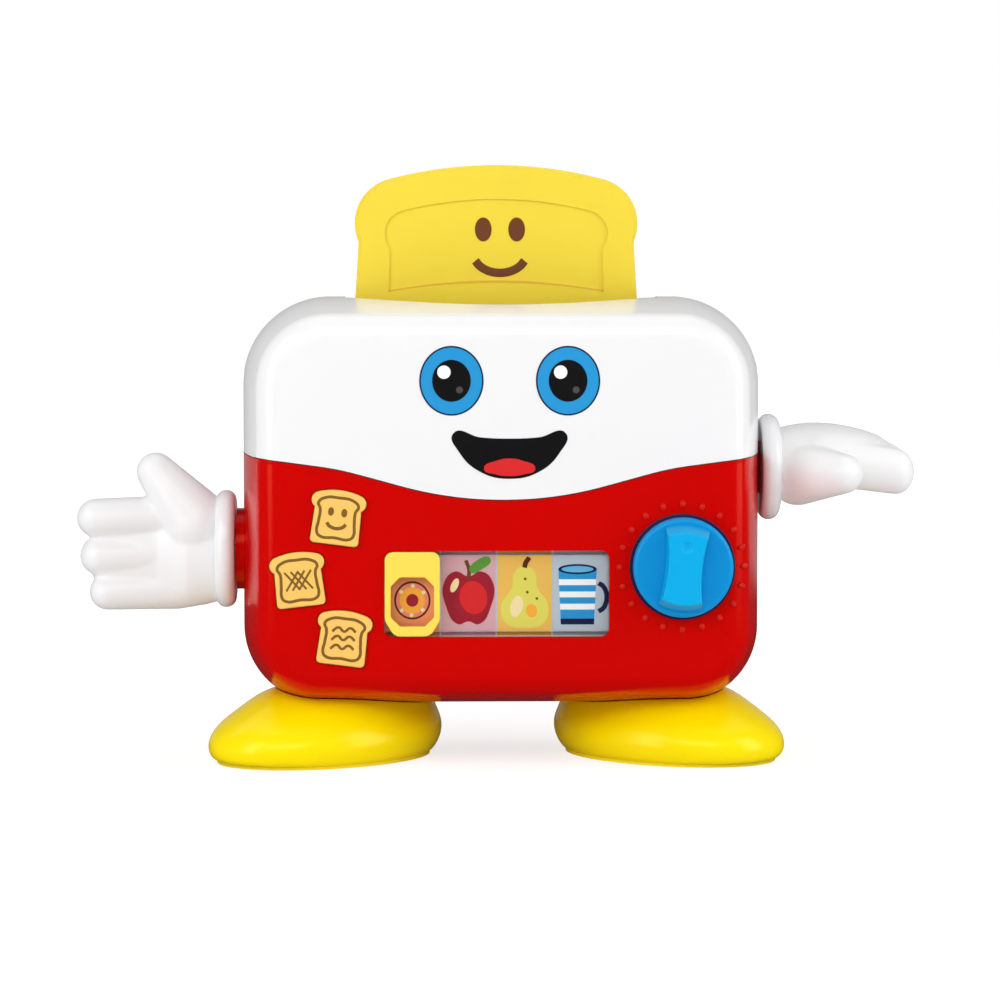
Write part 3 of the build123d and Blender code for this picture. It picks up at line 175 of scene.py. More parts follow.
def join(name: str, parts: Sequence[Object]) -> Object:
    """Joins several meshes into one object.

    Args:
        name: The joined object's name.
        parts: The meshes to join.

    Returns:
        The joined object.
    """
    pick(*parts)
    bpy.ops.object.join()
    obj = bpy.context.view_layer.objects.active
    obj.name = obj.data.name = name
    return obj


def draw(
    name: str, paths: Iterable[Sequence[Point3]], handle: str = "AUTO", closed: bool = False, **settings: Any
) -> Object:
    """Draws lines through points and turns them into a mesh.

    Args:
        name: The object's name.
        paths: Points along each line, in metres.
        handle: AUTO for smooth bends, VECTOR for corners, and empty for lines without handles.
        closed: Whether each line runs back to its start.
        settings: The curve's own settings.

    Returns:
        The mesh.
    """
    curve = bpy.data.curves.new(name, "CURVE")
    adjust(curve, **settings)
    for path in paths:
        spline = curve.splines.new("BEZIER" if handle else "POLY")
        knots = spline.bezier_points if handle else spline.points
        knots.add(len(path) - 1)
        for knot, place in zip(knots, path):
            knot.co = place if handle else (*place, 1.0)
            if handle:
                knot.handle_left_type = knot.handle_right_type = handle
        spline.use_cyclic_u = closed
    pick(put(name, curve))
    bpy.ops.object.convert(target="MESH")
    return bpy.context.view_layer.objects.active


def wear(obj: Object, look: Look, crease: float | None = None) -> None:
    """Gives a piece its finish, turns its faces to the outside and shades it smooth.

    Args:
        obj: The piece.
        look: Its finish.
        crease: Edges sharper than this many degrees stay sharp. None leaves no edge sharp.
    """
    obj.data.materials.clear()
    obj.data.materials.append(look.material())
    with editing(obj):
        bpy.ops.mesh.remove_doubles(threshold=1e-6)
        bpy.ops.mesh.normals_make_consistent(inside=False)
    if crease is None:
        bpy.ops.object.shade_smooth()
    else:
        bpy.ops.object.shade_smooth_by_angle(angle=math.radians(crease))


def seen_from_front(node: str, x: float, z: float) -> tuple[Vector, Vector]:
    """Where a line from the front meets a solid, or the flat front where it misses, and how that faces."""
    hit, place, facing, _ = frame["nodes"][node].ray_cast(Vector((x, LOOK_FROM * MM, z)), BACKWARDS)
    return (place, facing) if hit else (Vector((x, FRONT * MM, z)), -BACKWARDS)


# ---- shader nodes
def feed(tree: Tree, node: bpy.types.Node, inputs: dict[str | int, Any]) -> None:
    """Sets the inputs of a shader node, and links those that another node gives.

    Args:
        tree: The nodes that it is one of.
        node: The node.
        inputs: A value or another node's socket, by the input's name or number.
    """
    for place, value in inputs.items():
        if isinstance(value, Socket):
            tree.links.new(value, node.inputs[place])
        else:
            node.inputs[place].default_value = value


def add_node(
    tree: Tree, kind: str, inputs: dict[str | int, Any] | None = None, **settings: Any
) -> bpy.types.NodeOutputs:
    """Adds a shader node.

    Args:
        tree: The nodes that it joins.
        kind: Its type, without the word ShaderNode.
        inputs: A value or another node's socket, by the input's name or number.
        settings: The node's own settings.

    Returns:
        The node's outputs.
    """
    node = tree.nodes.new(f"ShaderNode{kind}")
    adjust(node, **settings)
    feed(tree, node, inputs or {})
    return node.outputs


def noise(tree: Tree, place: Socket, scale: float, detail: float) -> Socket:
    """Noise with a number of cells per metre and a number of finer layers."""
    return add_node(tree, "TexNoise", {"Scale": scale, "Detail": detail, "Vector": place})["Fac"]


def blend(tree: Tree, share: Socket, first: Any, second: Any) -> Socket:
    """A colour between two others."""
    return add_node(tree, "Mix", {"Factor": share, "A": first, "B": second}, data_type="RGBA")["Result"]


def depth(tree: Tree, place: Socket) -> Socket:
    """How far back a place is, along Y."""
    return add_node(tree, "SeparateXYZ", {0: place})["Y"]


# ---- finishes
@dataclass(frozen=True)
class Finish:
    """A moulded or painted surface: colour with faint variation, its gloss and its fine texture, and on some
    a painted highlight towards the front.

    Attributes:
        colour: Linear base colour.
        roughness: Middle roughness of the surface.
        spread: How far the roughness varies up and down.
        mottle: How far the colour varies, as a share.
        grain: Size of the fine texture, in texture cells per metre.
        relief: Strength of the fine texture.
        metallic: Whether the surface is a metal.
        coat: Weight of a clear gloss over the surface.
        glow: Weight of the light that scatters under the surface.
        alpha: Opacity of the surface.
        shine: Colour of the gloss.
        raised: Lighter colour painted on what stands out at the front as a painted highlight, where there is
            such a part.
        raised_span: Where that painted highlight starts and is full, along Y in millimetres.
    """

    colour: Colour
    roughness: float = 0.3
    spread: float = 0.05
    mottle: float = 0.03
    grain: float = 900.0
    relief: float = 0.03
    metallic: bool = False
    coat: float = 0.0
    glow: float = 0.0
    alpha: float = 1.0
    shine: Colour = (1.0, 1.0, 1.0)
    raised: Colour | None = None
    raised_span: Point2 = (0.0, 0.0)

    def material(self, label: str) -> bpy.types.Material:
        """Builds the finish, or takes it where it is already built.

        Args:
            label: The material's name.

        Returns:
            The material.
        """
        made = bpy.data.materials.get(label)
        if made is not None:
            return made
        made = bpy.data.materials.new(label)
        made.use_nodes = True
        made.diffuse_color = (*self.colour, 1.0)
        tree = made.node_tree
        place = add_node(tree, "TexCoord")["Object"]
        low, high = max(0.02, self.roughness - self.spread), self.roughness + self.spread
        gloss = {"Value": noise(tree, place, GLOSS_CELLS, 4.0), "To Min": low, "To Max": high}
        fine = {"Strength": self.relief, "Distance": 0.0004, "Height": noise(tree, place, self.grain, 2.0)}
        surface = {
            "Base Color": self.tint(tree, place),
            "Roughness": add_node(tree, "MapRange", gloss)["Result"],
            "Normal": add_node(tree, "Bump", fine)["Normal"],
            "Metallic": float(self.metallic),
            "Coat Weight": self.coat,
            "Coat Roughness": 0.08,
            "Subsurface Weight": self.glow,
            "Subsurface Radius": (0.004, 0.003, 0.002),
            "Subsurface Scale": 1.0,
            "Alpha": self.alpha,
            "Specular Tint": (*self.shine, 1.0),
        }
        feed(tree, tree.nodes["Principled BSDF"], surface)
        return made

    def tint(self, tree: Tree, place: Socket) -> Socket:
        """Varies the base colour softly, and blends to a lighter colour towards the front, a painted
        highlight.

        Args:
            tree: The material's nodes.
            place: Object coordinates.

        Returns:
            The socket with the colour.
        """
        low, high = (
            tuple(min(1.0, max(0.0, channel * (1.0 + change))) for channel in self.colour)
            for change in (-self.mottle, self.mottle)
        )
        colour = blend(tree, noise(tree, place, TINT_CELLS, 3.0), (*low, 1.0), (*high, 1.0))
        if self.raised is None:
            return colour
        # the lighter colour towards the front is a painted highlight, not a different plastic
        start, full = self.raised_span
        span = {"Value": depth(tree, place), "From Min": start * MM, "From Max": full * MM}
        return blend(tree, add_node(tree, "MapRange", span)["Result"], colour, (*self.raised, 1.0))


class Look(Enum):
    """The finishes of this toy."""

    WHITE_PLASTIC = Finish((0.86, 0.86, 0.87), 0.22, 0.04, 0.008, 700.0, 0.015, coat=0.3)
    GLOVE = Finish((0.84, 0.84, 0.845), 0.36, 0.05, 0.008, 900.0, 0.03)
    RED_PLASTIC = Finish((0.58, 0.001, 0.001), 0.17, 0.03, 0.02, 700.0, 0.015, shine=(1.0, 0.2, 0.1))
    # Dial marks: the red plastic painted a little lighter, a painted highlight on them
    MARK = Finish((0.64, 0.012, 0.009), 0.3, 0.04, 0.02, 700.0, 0.015, shine=(1.0, 0.34, 0.2))
    # Dark line at the joint of cover and housing: painted shade standing in for the shadow in the joint
    PARTING = Finish((0.05, 0.004, 0.003), 0.6)
    FOOT_YELLOW = Finish((1.0, 0.79, 0.0), 0.24, 0.05, 0.02, 650.0, 0.02, shine=(1.0, 0.85, 0.35))
    SOLE_YELLOW = Finish((1.0, 0.74, 0.001), 0.6, 0.06, 0.04, 1500.0, 0.2)
    TOAST_YELLOW = Finish((0.88, 0.67, 0.046), 0.42, 0.06, 0.03, 1100.0, 0.08, shine=(1.0, 0.95, 0.6))
    # The grip is the same blue plastic, painted lighter towards the front as a painted highlight
    KNOB_BLUE = Finish(
        (0.0, 0.29, 0.68), 0.34, shine=(0.3, 0.75, 1.0), raised=(0.0, 0.41, 0.80), raised_span=KNOB_GRIP
    )
    BUTTON_YELLOW = Finish((1.0, 0.56, 0.12), 0.42, 0.05, 0.02, 1100.0, 0.05)
    SELECTOR_YELLOW = Finish((1.0, 0.72, 0.09), 0.24, 0.04, 0.02, 800.0, 0.02, coat=0.2)
    CLEAR_LENS = Finish((0.02, 0.02, 0.025), 0.06, 0.02, 0.0, 500.0, 0.004, alpha=0.05)
    WHITE_INSERT = Finish((0.92, 0.92, 0.91), 0.5)
    GREY_INSERT = Finish((0.26, 0.27, 0.29), 0.5, grain=1300.0, relief=0.08)
    DARK_PLASTIC = Finish((0.012, 0.012, 0.014), 0.45, grain=1400.0, relief=0.08)
    NYLON = Finish((0.80, 0.76, 0.64), 0.42, glow=0.1)
    RUBBER_GREY = Finish((0.10, 0.10, 0.105), 0.7, relief=0.15)
    PAPER_CONE = Finish((0.02, 0.02, 0.02), 0.85, mottle=0.2, relief=0.3)
    BOARD_GREEN = Finish((0.004, 0.08, 0.02), 0.35, mottle=0.15, coat=0.3)
    STEEL = Finish((0.56, 0.57, 0.6), 0.28, 0.08, 0.04, 1600.0, 0.1, metallic=True)
    COPPER_COIL = Finish((0.62, 0.24, 0.10), 0.3, 0.05, 0.08, 2500.0, 0.5, metallic=True)
    CELL_WRAP = Finish((0.03, 0.04, 0.06), 0.3, coat=0.4)
    INK_BROWN = Finish((0.17, 0.042, 0.002), 0.45)
    INK_OLIVE = Finish((0.22, 0.11, 0.006), 0.45)
    INK_BLACK = Finish((0.006, 0.005, 0.006), 0.3)
    INK_BLUE = Finish((0.012, 0.30, 0.66), 0.3)
    INK_NAVY = Finish((0.008, 0.012, 0.07), 0.3)
    INK_SKY = Finish((0.12, 0.45, 0.75), 0.3)
    INK_WHITE = Finish((0.92, 0.92, 0.93), 0.3)
    INK_RED = Finish((0.70, 0.01, 0.012), 0.35)
    INK_SMOKE = Finish((0.07, 0.065, 0.07), 0.3)
    INK_PINK = Finish((0.86, 0.24, 0.16), 0.4)
    INK_GREEN = Finish((0.10, 0.32, 0.03), 0.4)
    INK_LIME = Finish((0.75, 0.70, 0.10), 0.4)
    INK_CREAM = Finish((0.90, 0.74, 0.38), 0.4)
    INK_ORANGE = Finish((0.95, 0.42, 0.03), 0.4)
    PRINTED_CARD = Finish((0.56, 0.58, 0.60), 0.35)
    GROUND_ROSE = Finish((0.72, 0.42, 0.46), 0.35)
    GROUND_SUN = Finish((0.93, 0.55, 0.10), 0.35)
    GROUND_BLUE = Finish((0.50, 0.62, 0.70), 0.35)
    GROUND_AMBER = Finish((1.0, 0.34, 0.12), 0.35)
    INK_CRIMSON = Finish((0.36, 0.004, 0.02), 0.35)
    INK_UMBER = Finish((0.10, 0.014, 0.004), 0.4)
    TOAST_SHADE = Finish((0.68, 0.43, 0.02), 0.45, 0.06, 0.03)

    def material(self) -> bpy.types.Material:
        """The finish as a material."""
        return self.value.material(f"{self.name.lower()}_finish")


class Wardrobe:
    """Which finish each solid of the frame wears: the one named after its material slot in the record."""

    def build(self) -> None:
        """Gives every solid of the frame its finish."""
        for part in frame["record"]["subparts"]:
            solid = frame["nodes"].get(part["node"])
            if solid is not None:
                solid.data.materials.clear()
                solid.data.materials.append(Look[part["material_slot"].upper()].material())
        LOG.info("dressed %d solids", len(frame["nodes"]))


# ---- prints
@dataclass
class Print:
    """Flat artwork that lies on a surface that faces the front.

    Attributes:
        body: The moving body that it rides on.
        slot: The record's material slot. Not used.
        level: Where the surface is, along Y in millimetres.
        thickness: Thickness of one layer of ink.
        turn: Clockwise turn of the artwork about its origin, in degrees.
        origin: Centre of the artwork, X and Z in millimetres.
        onto: Solid that the artwork is wrapped onto, where the surface isn't flat.
        step: How far a layer stands off the one below, as a share of its thickness.
    """

    body: str
    slot: str
    level: float
    thickness: float = 0.06
    turn: float = 0.0
    origin: Point2 = (0.0, 0.0)
    onto: str = ""
    step: float = 0.9

    def patch(
        self, name: str, look: Look, outline: Sequence[Point2], layer: int = 0, curved: bool = True
    ) -> None:
        """Makes a filled shape.

        Args:
            name: The piece's name.
            look: Its ink.
            outline: Points round the shape, in millimetres from the artwork's origin.
            layer: How many layers of ink it lies on.
            curved: Whether the outline runs smoothly through its points.
        """
        settings = {"dimensions": "2D", "fill_mode": "BOTH", "resolution_u": 10}
        settings["extrude"] = self.thickness * MM
        handle = "AUTO" if curved else "VECTOR"
        self.lay(draw(name, [flat(outline)], handle, True, **settings), look, layer)

    def oval(
        self, name: str, look: Look, centre: Point2, size: Point2, layer: int = 0, lean: float = 0.0
    ) -> None:
        """Makes a filled oval.

        Args:
            name: The piece's name.
            look: Its ink.
            centre: Its centre, in millimetres from the artwork's origin.
            size: Its width and height.
            layer: How many layers of ink it lies on.
            lean: Its clockwise turn in degrees.
        """
        thick = 2 * self.thickness * MM
        add = bpy.ops.mesh.primitive_cylinder_add
        disc = primitive(add, vertices=64, radius=0.5, depth=thick, end_fill_type="NGON")
        disc.name = disc.data.name = name
        with editing(disc):
            pick_caps(disc)
            for _ in range(4):  # rings, so that the disc can bend onto a curved wall
                bpy.ops.mesh.inset(thickness=0.11, depth=0.0)
            bpy.ops.mesh.select_all(action="SELECT")
            bpy.ops.transform.resize(value=(size[0] * MM, size[1] * MM, 1.0))
        disc.rotation_euler = (0.0, 0.0, -math.radians(lean))
        disc.location = (centre[0] * MM, centre[1] * MM, 0.0)
        settle(disc)
        self.lay(disc, look, layer)

    def stroke(
        self,
        name: str,
        look: Look,
        paths: Iterable[Sequence[Point2]],
        width: float,
        layer: int = 0,
        closed: bool = False,
    ) -> None:
        """Makes lines of one width with round ends.

        Args:
            name: The piece's name.
            look: Its ink.
            paths: Points along each line, in millimetres from the artwork's origin.
            width: Width of the lines.
            layer: How many layers of ink they lie on.
            closed: Whether each line runs back to its start.
        """
        settings = {"dimensions": "3D", "bevel_depth": width * MM / 2, "bevel_resolution": 3}
        settings |= {"resolution_u": 8, "use_fill_caps": True}
        line = draw(name, [flat(path) for path in paths], closed=closed, **settings)
        line.scale = (1.0, 1.0, 2 * self.thickness / width)
        settle(line)
        self.lay(line, look, layer)

    def lay(self, obj: Object, look: Look, layer: int) -> None:
        """Turns artwork drawn on the ground plane to the front and lays it on its surface.

        Args:
            obj: The artwork, drawn with X to the right and Y up.
            look: Its ink.
            layer: How many layers of ink it lies on.
        """
        obj.rotation_euler = (0.0, 0.0, -math.radians(self.turn))
        settle(obj)
        obj.rotation_euler = (math.pi / 2, 0.0, 0.0)
        lift = self.level - self.thickness * (2 * layer + 1) * self.step
        obj.location = (self.origin[0] * MM, lift * MM, self.origin[1] * MM)
        settle(obj)
        if self.onto:
            follow(obj, self.onto)
        wear(obj, look, PRINT_CREASE)
        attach(obj, self.body)
        LOG.info("print %s", obj.name)


def flat(path: Sequence[Point2]) -> list[Point3]:
    """Points in millimetres as points in metres on the ground plane."""
    return [(x * MM, z * MM, 0.0) for x, z in path]


def follow(obj: Object, node: str, only_back: bool = False) -> None:
    """Moves each point of a piece by as much as the wall behind it differs from the flat front.

    Args:
        obj: The piece, laid on the flat front.
        node: The solid behind it.
        only_back: Whether points move back only.
    """
    for vertex in obj.data.vertices:
        move = seen_from_front(node, vertex.co.x, vertex.co.z)[0].y - FRONT * MM
        vertex.co.y += max(0.0, move) if only_back else move


def pick_caps(obj: Object) -> None:
    """Selects the two flat ends of a short cylinder in edit mode.

    Args:
        obj: The cylinder, drawn along Z.
    """
    mesh = bmesh.from_edit_mesh(obj.data)
    bpy.ops.mesh.select_mode(type="FACE")
    for face in mesh.faces:
        face.select_set(abs(face.normal.z) > 0.9)
    bmesh.update_edit_mesh(obj.data)


def arc(centre: Point2, radius: Point2, start: float, end: float, count: int) -> list[Point2]:
    """Points along an oval arc, between two angles in degrees, from the right and anticlockwise."""
    angles = [math.radians(start + (end - start) * i / (count - 1)) for i in range(count)]
    return [(centre[0] + radius[0] * math.cos(a), centre[1] + radius[1] * math.sin(a)) for a in angles]


def both_sides(half: Sequence[Point2]) -> list[Point2]:
    """An outline from its right half, which starts and ends in the middle."""
    return [*half, *((-x, z) for x, z in reversed(half) if x > 0.0)]


@dataclass
class CoverFace:
    """The face printed on the white cover.

    Attributes:
        eyes: Centre of each eye, X and Z in millimetres.
        eye_size: Width and height of an eye.
        mouth: Middle of the mouth's upper edge.
    """

    eyes: tuple[Point2, Point2] = ((-19.5, 145.6), (24.0, 145.6))
    eye_size: Point2 = (24.0, 26.0)
    mouth: Point2 = (2.2, 126.0)

    def build(self) -> None:
        """Prints both eyes and the mouth."""
        sheet = Print("housing", "white_plastic", FRONT, onto="upper_cover")
        width, height = self.eye_size
        for side, (x, z) in zip(("left", "right"), self.eyes):
            sheet.oval(f"eye_rim_{side}", Look.INK_NAVY, (x, z), (width, height))
            sheet.oval(f"eye_ring_{side}", Look.INK_BLUE, (x, z), (width - 1.2, height - 1.2), 1)
            sheet.oval(f"eye_pupil_{side}", Look.INK_BLACK, (x, z), (14.4, 15.6), 2)
            sheet.oval(f"eye_glint_{side}", Look.INK_WHITE, (x - 2.8, z + 3.2), (5.0, 5.0), 3)
            sheet.oval(f"eye_spark_{side}", Look.INK_SMOKE, (x + 3.0, z - 3.4), (2.6, 2.6), 3)
        sheet.origin = self.mouth
        half = [(0.0, -2.0), (11.0, -1.5), (21.0, 0.0), (18.6, -7.4), (10.6, -14.6), (0.0, -17.0)]
        sheet.patch("mouth", Look.INK_BLACK, both_sides(half))
        half = [(0.0, -9.4), (4.8, -10.2), (9.6, -13.2), (5.0, -15.4), (0.0, -16.0)]
        sheet.patch("tongue", Look.INK_RED, both_sides(half), 1)


@dataclass
class TrayArt:
    """Pictures of food on the card behind the window.

    Attributes:
        left: Left edge of the first cell, X in millimetres.
        cell: Width of a cell.
        middle: Height of the middle of the cells.
        height: Height of the card.
        level: Where the card's face is, along Y.
        slots: Start and end of each slot by the lens, up or down from the middle, with the rim behind it.
    """

    left: float = -44.7
    cell: float = 21.05
    middle: float = 65.85
    height: float = 28.9
    level: float = CARD_LEVEL
    slots: Point2 = (14.5, 16.1)

    def build(self) -> None:
        """Prints the four cells, and their colours on the rim behind the slots."""
        grounds = (Look.GROUND_AMBER, Look.GROUND_ROSE, Look.GROUND_SUN, Look.GROUND_BLUE)
        pictures = (self.biscuit, self.apple, self.pear, self.mug)
        near, far = self.slots
        for i, (ground, picture) in enumerate(zip(grounds, pictures)):
            origin = (self.left + self.cell * (i + 0.5), self.middle)
            sheet = Print("housing", "printed_card", self.level, 0.02, 0.0, origin)
            x, z = self.cell / 2 - 0.35, self.height / 2 - 0.2
            sheet.patch(f"cell_ground_{i + 1}", ground, [(-x, -z), (x, -z), (x, z), (-x, z)], 0, False)
            picture(sheet)
            spot, _ = seen_from_front("light_box", origin[0] * MM, (self.middle + (near + far) / 2) * MM)
            rim = Print("housing", "printed_card", spot.y / MM, 0.02, 0.0, origin)
            for side, low in (("low", -far), ("high", near)):
                band = [(-x, low), (x, low), (x, low + far - near), (-x, low + far - near)]
                rim.patch(f"cell_rim_{side}_{i + 1}", ground, band, 0, False)

    def biscuit(self, sheet: Print) -> None:
        """A round iced biscuit.

        Args:
            sheet: What it is printed with.
        """
        names = ("biscuit", "biscuit_icing", "biscuit_top", "biscuit_middle")
        inks = (Look.INK_UMBER, Look.INK_PINK, Look.INK_ORANGE, Look.INK_CRIMSON)
        sizes = ((13.6, 14.4), (12.2, 13.0), (9.4, 10.0), (4.6, 4.8))
        for i, (name, ink, size) in enumerate(zip(names, inks, sizes)):
            sheet.oval(name, ink, (0.0, -2.6), size, i + 1)
        crumbs = ((-4.2, 0.6), (4.2, 0.4), (3.9, -6.2), (-4.0, -6.4), (0.2, 2.9), (-0.3, -8.2))
        for i, spot in enumerate(crumbs):
            sheet.oval(f"biscuit_crumb_{i + 1}", Look.INK_CREAM, spot, (1.5, 1.5), 4)

    def apple(self, sheet: Print) -> None:
        """A red apple with a leaf.

        Args:
            sheet: What it is printed with.
        """
        half = [(0.0, 6.4), (5.0, 8.2), (9.2, 4.0), (8.4, -5.0), (4.0, -11.6), (0.0, -10.6)]
        sheet.patch("apple", Look.INK_CRIMSON, both_sides(half), 1)
        sheet.oval("apple_cheek", Look.INK_RED, (1.8, -1.6), (10.4, 12.6), 2, -12.0)
        sheet.patch("apple_leaf", Look.INK_GREEN, [(0.6, 8.2), (3.2, 12.4), (8.2, 13.0), (5.4, 9.2)], 2)
        sheet.stroke("apple_stem", Look.INK_BROWN, [[(0.0, 5.6), (0.2, 8.8), (-1.0, 12.4)]], 1.4, 2)
        sheet.oval("apple_glint", Look.INK_CREAM, (-5.2, 3.0), (2.6, 5.6), 3, 24.0)

    def pear(self, sheet: Print) -> None:
        """A yellow-green pear.

        Args:
            sheet: What it is printed with.
        """
        half = [(0.0, 10.2), (3.8, 7.8), (4.8, 2.0), (8.6, -4.0), (7.2, -11.2), (0.0, -13.0)]
        sheet.patch("pear", Look.INK_LIME, both_sides(half), 1)
        sheet.stroke("pear_stem", Look.INK_UMBER, [[(0.0, 9.6), (0.4, 11.4), (1.8, 13.4)]], 1.8, 2)
        sheet.oval("pear_blush", Look.INK_CREAM, (-3.0, -5.0), (4.6, 8.2), 2, 14.0)
        sheet.oval("pear_core", Look.INK_ORANGE, (2.6, -6.6), (4.2, 5.0), 2, -10.0)
        for i, spot in enumerate(((4.6, -2.0), (1.0, 0.4), (0.2, 5.4))):
            sheet.oval(f"pear_speck_{i + 1}", Look.INK_BROWN, spot, (1.0, 1.0), 2)

    def mug(self, sheet: Print) -> None:
        """A blue mug with white bands.

        Args:
            sheet: What it is printed with.
        """
        sheet.stroke("mug_handle", Look.INK_NAVY, [arc((6.0, -1.6), (3.8, 5.4), -80.0, 80.0, 7)], 1.8, 1)
        body = [(-8.4, 9.0), (6.0, 9.0), (5.0, -11.8), (-7.4, -11.8)]
        sheet.patch("mug", Look.INK_BLUE, body, 2, False)
        for i, (top, low) in enumerate(((5.2, 3.0), (0.6, -1.6), (-4.0, -6.2))):
            taper = (9.0 - top) / 20.8  # each side of the mug leans in by 1 mm over its height
            left, right = -8.4 + taper, 6.0 - taper
            band = [(left, top), (right, top), (right - 0.1, low), (left + 0.1, low)]
            sheet.patch(f"mug_band_{i + 1}", Look.INK_WHITE, band, 3, False)
        foot = [(-7.6, -9.6), (5.1, -9.6), (5.0, -11.8), (-7.4, -11.8)]
        sheet.patch("mug_foot", Look.INK_NAVY, foot, 3, False)
        sheet.oval("mug_rim", Look.INK_NAVY, (-1.2, 9.0), (14.4, 3.8), 3)
        sheet.oval("mug_inside", Look.INK_SKY, (-1.2, 9.0), (12.0, 2.4), 4)


@dataclass
class ButtonArt:
    """Line drawings on the three slice-shaped buttons.

    Attributes:
        places: Centre and clockwise turn of each button, from the top down.
        level: Where the button faces are, along Y.
    """

    places: tuple[Point3, ...] = ((-62.2, 94.7, 7.3), (-76.6, 71.5, -6.5), (-60.0, 49.5, 7.3))
    level: float = BUTTON_LEVEL

    def build(self) -> None:
        """Prints the outline and the picture of each button."""
        half = [(0.0, 7.4), (5.2, 6.9), (7.5, 4.9), (6.6, 2.6)]
        half += [(6.7, -2.0), (6.9, -6.0), (5.9, -7.4), (0.0, -7.6)]
        pictures = {"top": self.top, "middle": self.middle, "bottom": self.bottom}
        for (name, picture), (x, z, turn) in zip(pictures.items(), self.places):
            sheet = Print(f"button_{name}", "button_yellow", self.level, 0.05, turn, (x, z))
            sheet.stroke(f"button_outline_{name}", Look.INK_OLIVE, [both_sides(half)], 1.1, 0, True)
            picture(sheet)

    def top(self, sheet: Print) -> None:
        """A plain smile.

        Args:
            sheet: What it is printed with.
        """
        for side, x in (("left", -2.5), ("right", 2.5)):
            sheet.oval(f"button_eye_{side}", Look.INK_OLIVE, (x, 2.0), (2.2, 3.2))
        sheet.stroke("button_smile", Look.INK_OLIVE, [arc((0.0, -1.2), (3.8, 2.9), 200.0, 340.0, 7)], 1.3)

    def middle(self, sheet: Print) -> None:
        """Grill marks that cross.

        Args:
            sheet: What it is printed with.
        """
        ends = ((-3.8, 3.2), (3.2, -3.8))
        marks = [[(x - 2.6, low), (x + 2.6, high)] for x in (-2.4, 0.0, 2.4) for low, high in ends]
        sheet.stroke("button_grill", Look.INK_OLIVE, marks, 0.8)

    def bottom(self, sheet: Print) -> None:
        """Wavy spread.

        Args:
            sheet: What it is printed with.
        """
        wave = ((-4.4, -1.0), (-2.2, 0.7), (0.0, -0.6), (2.2, 0.9), (4.4, -0.4))
        waves = [[(x, step + rise) for x, rise in wave] for step in (3.2, 0.0, -3.4)]
        sheet.stroke("button_spread", Look.INK_OLIVE, waves, 1.0)


@dataclass
class SliceFace:
    """The small face printed on the slice of toast, and a line of painted shade along its panel's lower
    edge.

    Attributes:
        centre: Middle of the face, X and Z in millimetres.
        level: Where the slice's sunk panel is, along Y.
        fold: Points along the panel's lower edge, from the middle of the face.
    """

    centre: Point2 = (-0.4, 196.6)
    level: float = SLICE_PANEL
    fold: tuple[Point2, ...] = ((-42.6, -17.6), (-22.0, -14.9), (-1.4, -13.95), (19.2, -14.9), (39.8, -17.6))

    def build(self) -> None:
        """Prints the eyes and the smile, and lays a line of painted shade along the panel's lower edge."""
        sheet = Print("toast", "toast_yellow", self.level, 0.05, 0.0, self.centre)
        for side, x in (("left", -6.4), ("right", 6.4)):
            sheet.oval(f"slice_eye_{side}", Look.INK_BROWN, (x, 6.0), (6.4, 9.2))
        sheet.stroke("slice_smile", Look.INK_BROWN, [arc((0.0, -2.6), (10.4, 8.0), 205.0, 335.0, 9)], 3.3)
        # painted shade along the step at the panel's lower edge
        sheet.stroke("slice_fold_shade", Look.TOAST_SHADE, [self.fold], 0.9)


# ---- moulded hands
@dataclass(frozen=True)
class Finger:
    """One tapered finger, in the hand's own directions.

    Attributes:
        root: Where it starts: along the hand, towards the thumb, towards the back.
        end: Centre of its tip.
        thick: Radius at the root.
        slim: Radius at the tip.
        deep: How much thicker it is from front to back than it is wide.
    """

    root: Point3
    end: Point3
    thick: float
    slim: float
    deep: float = 1.18


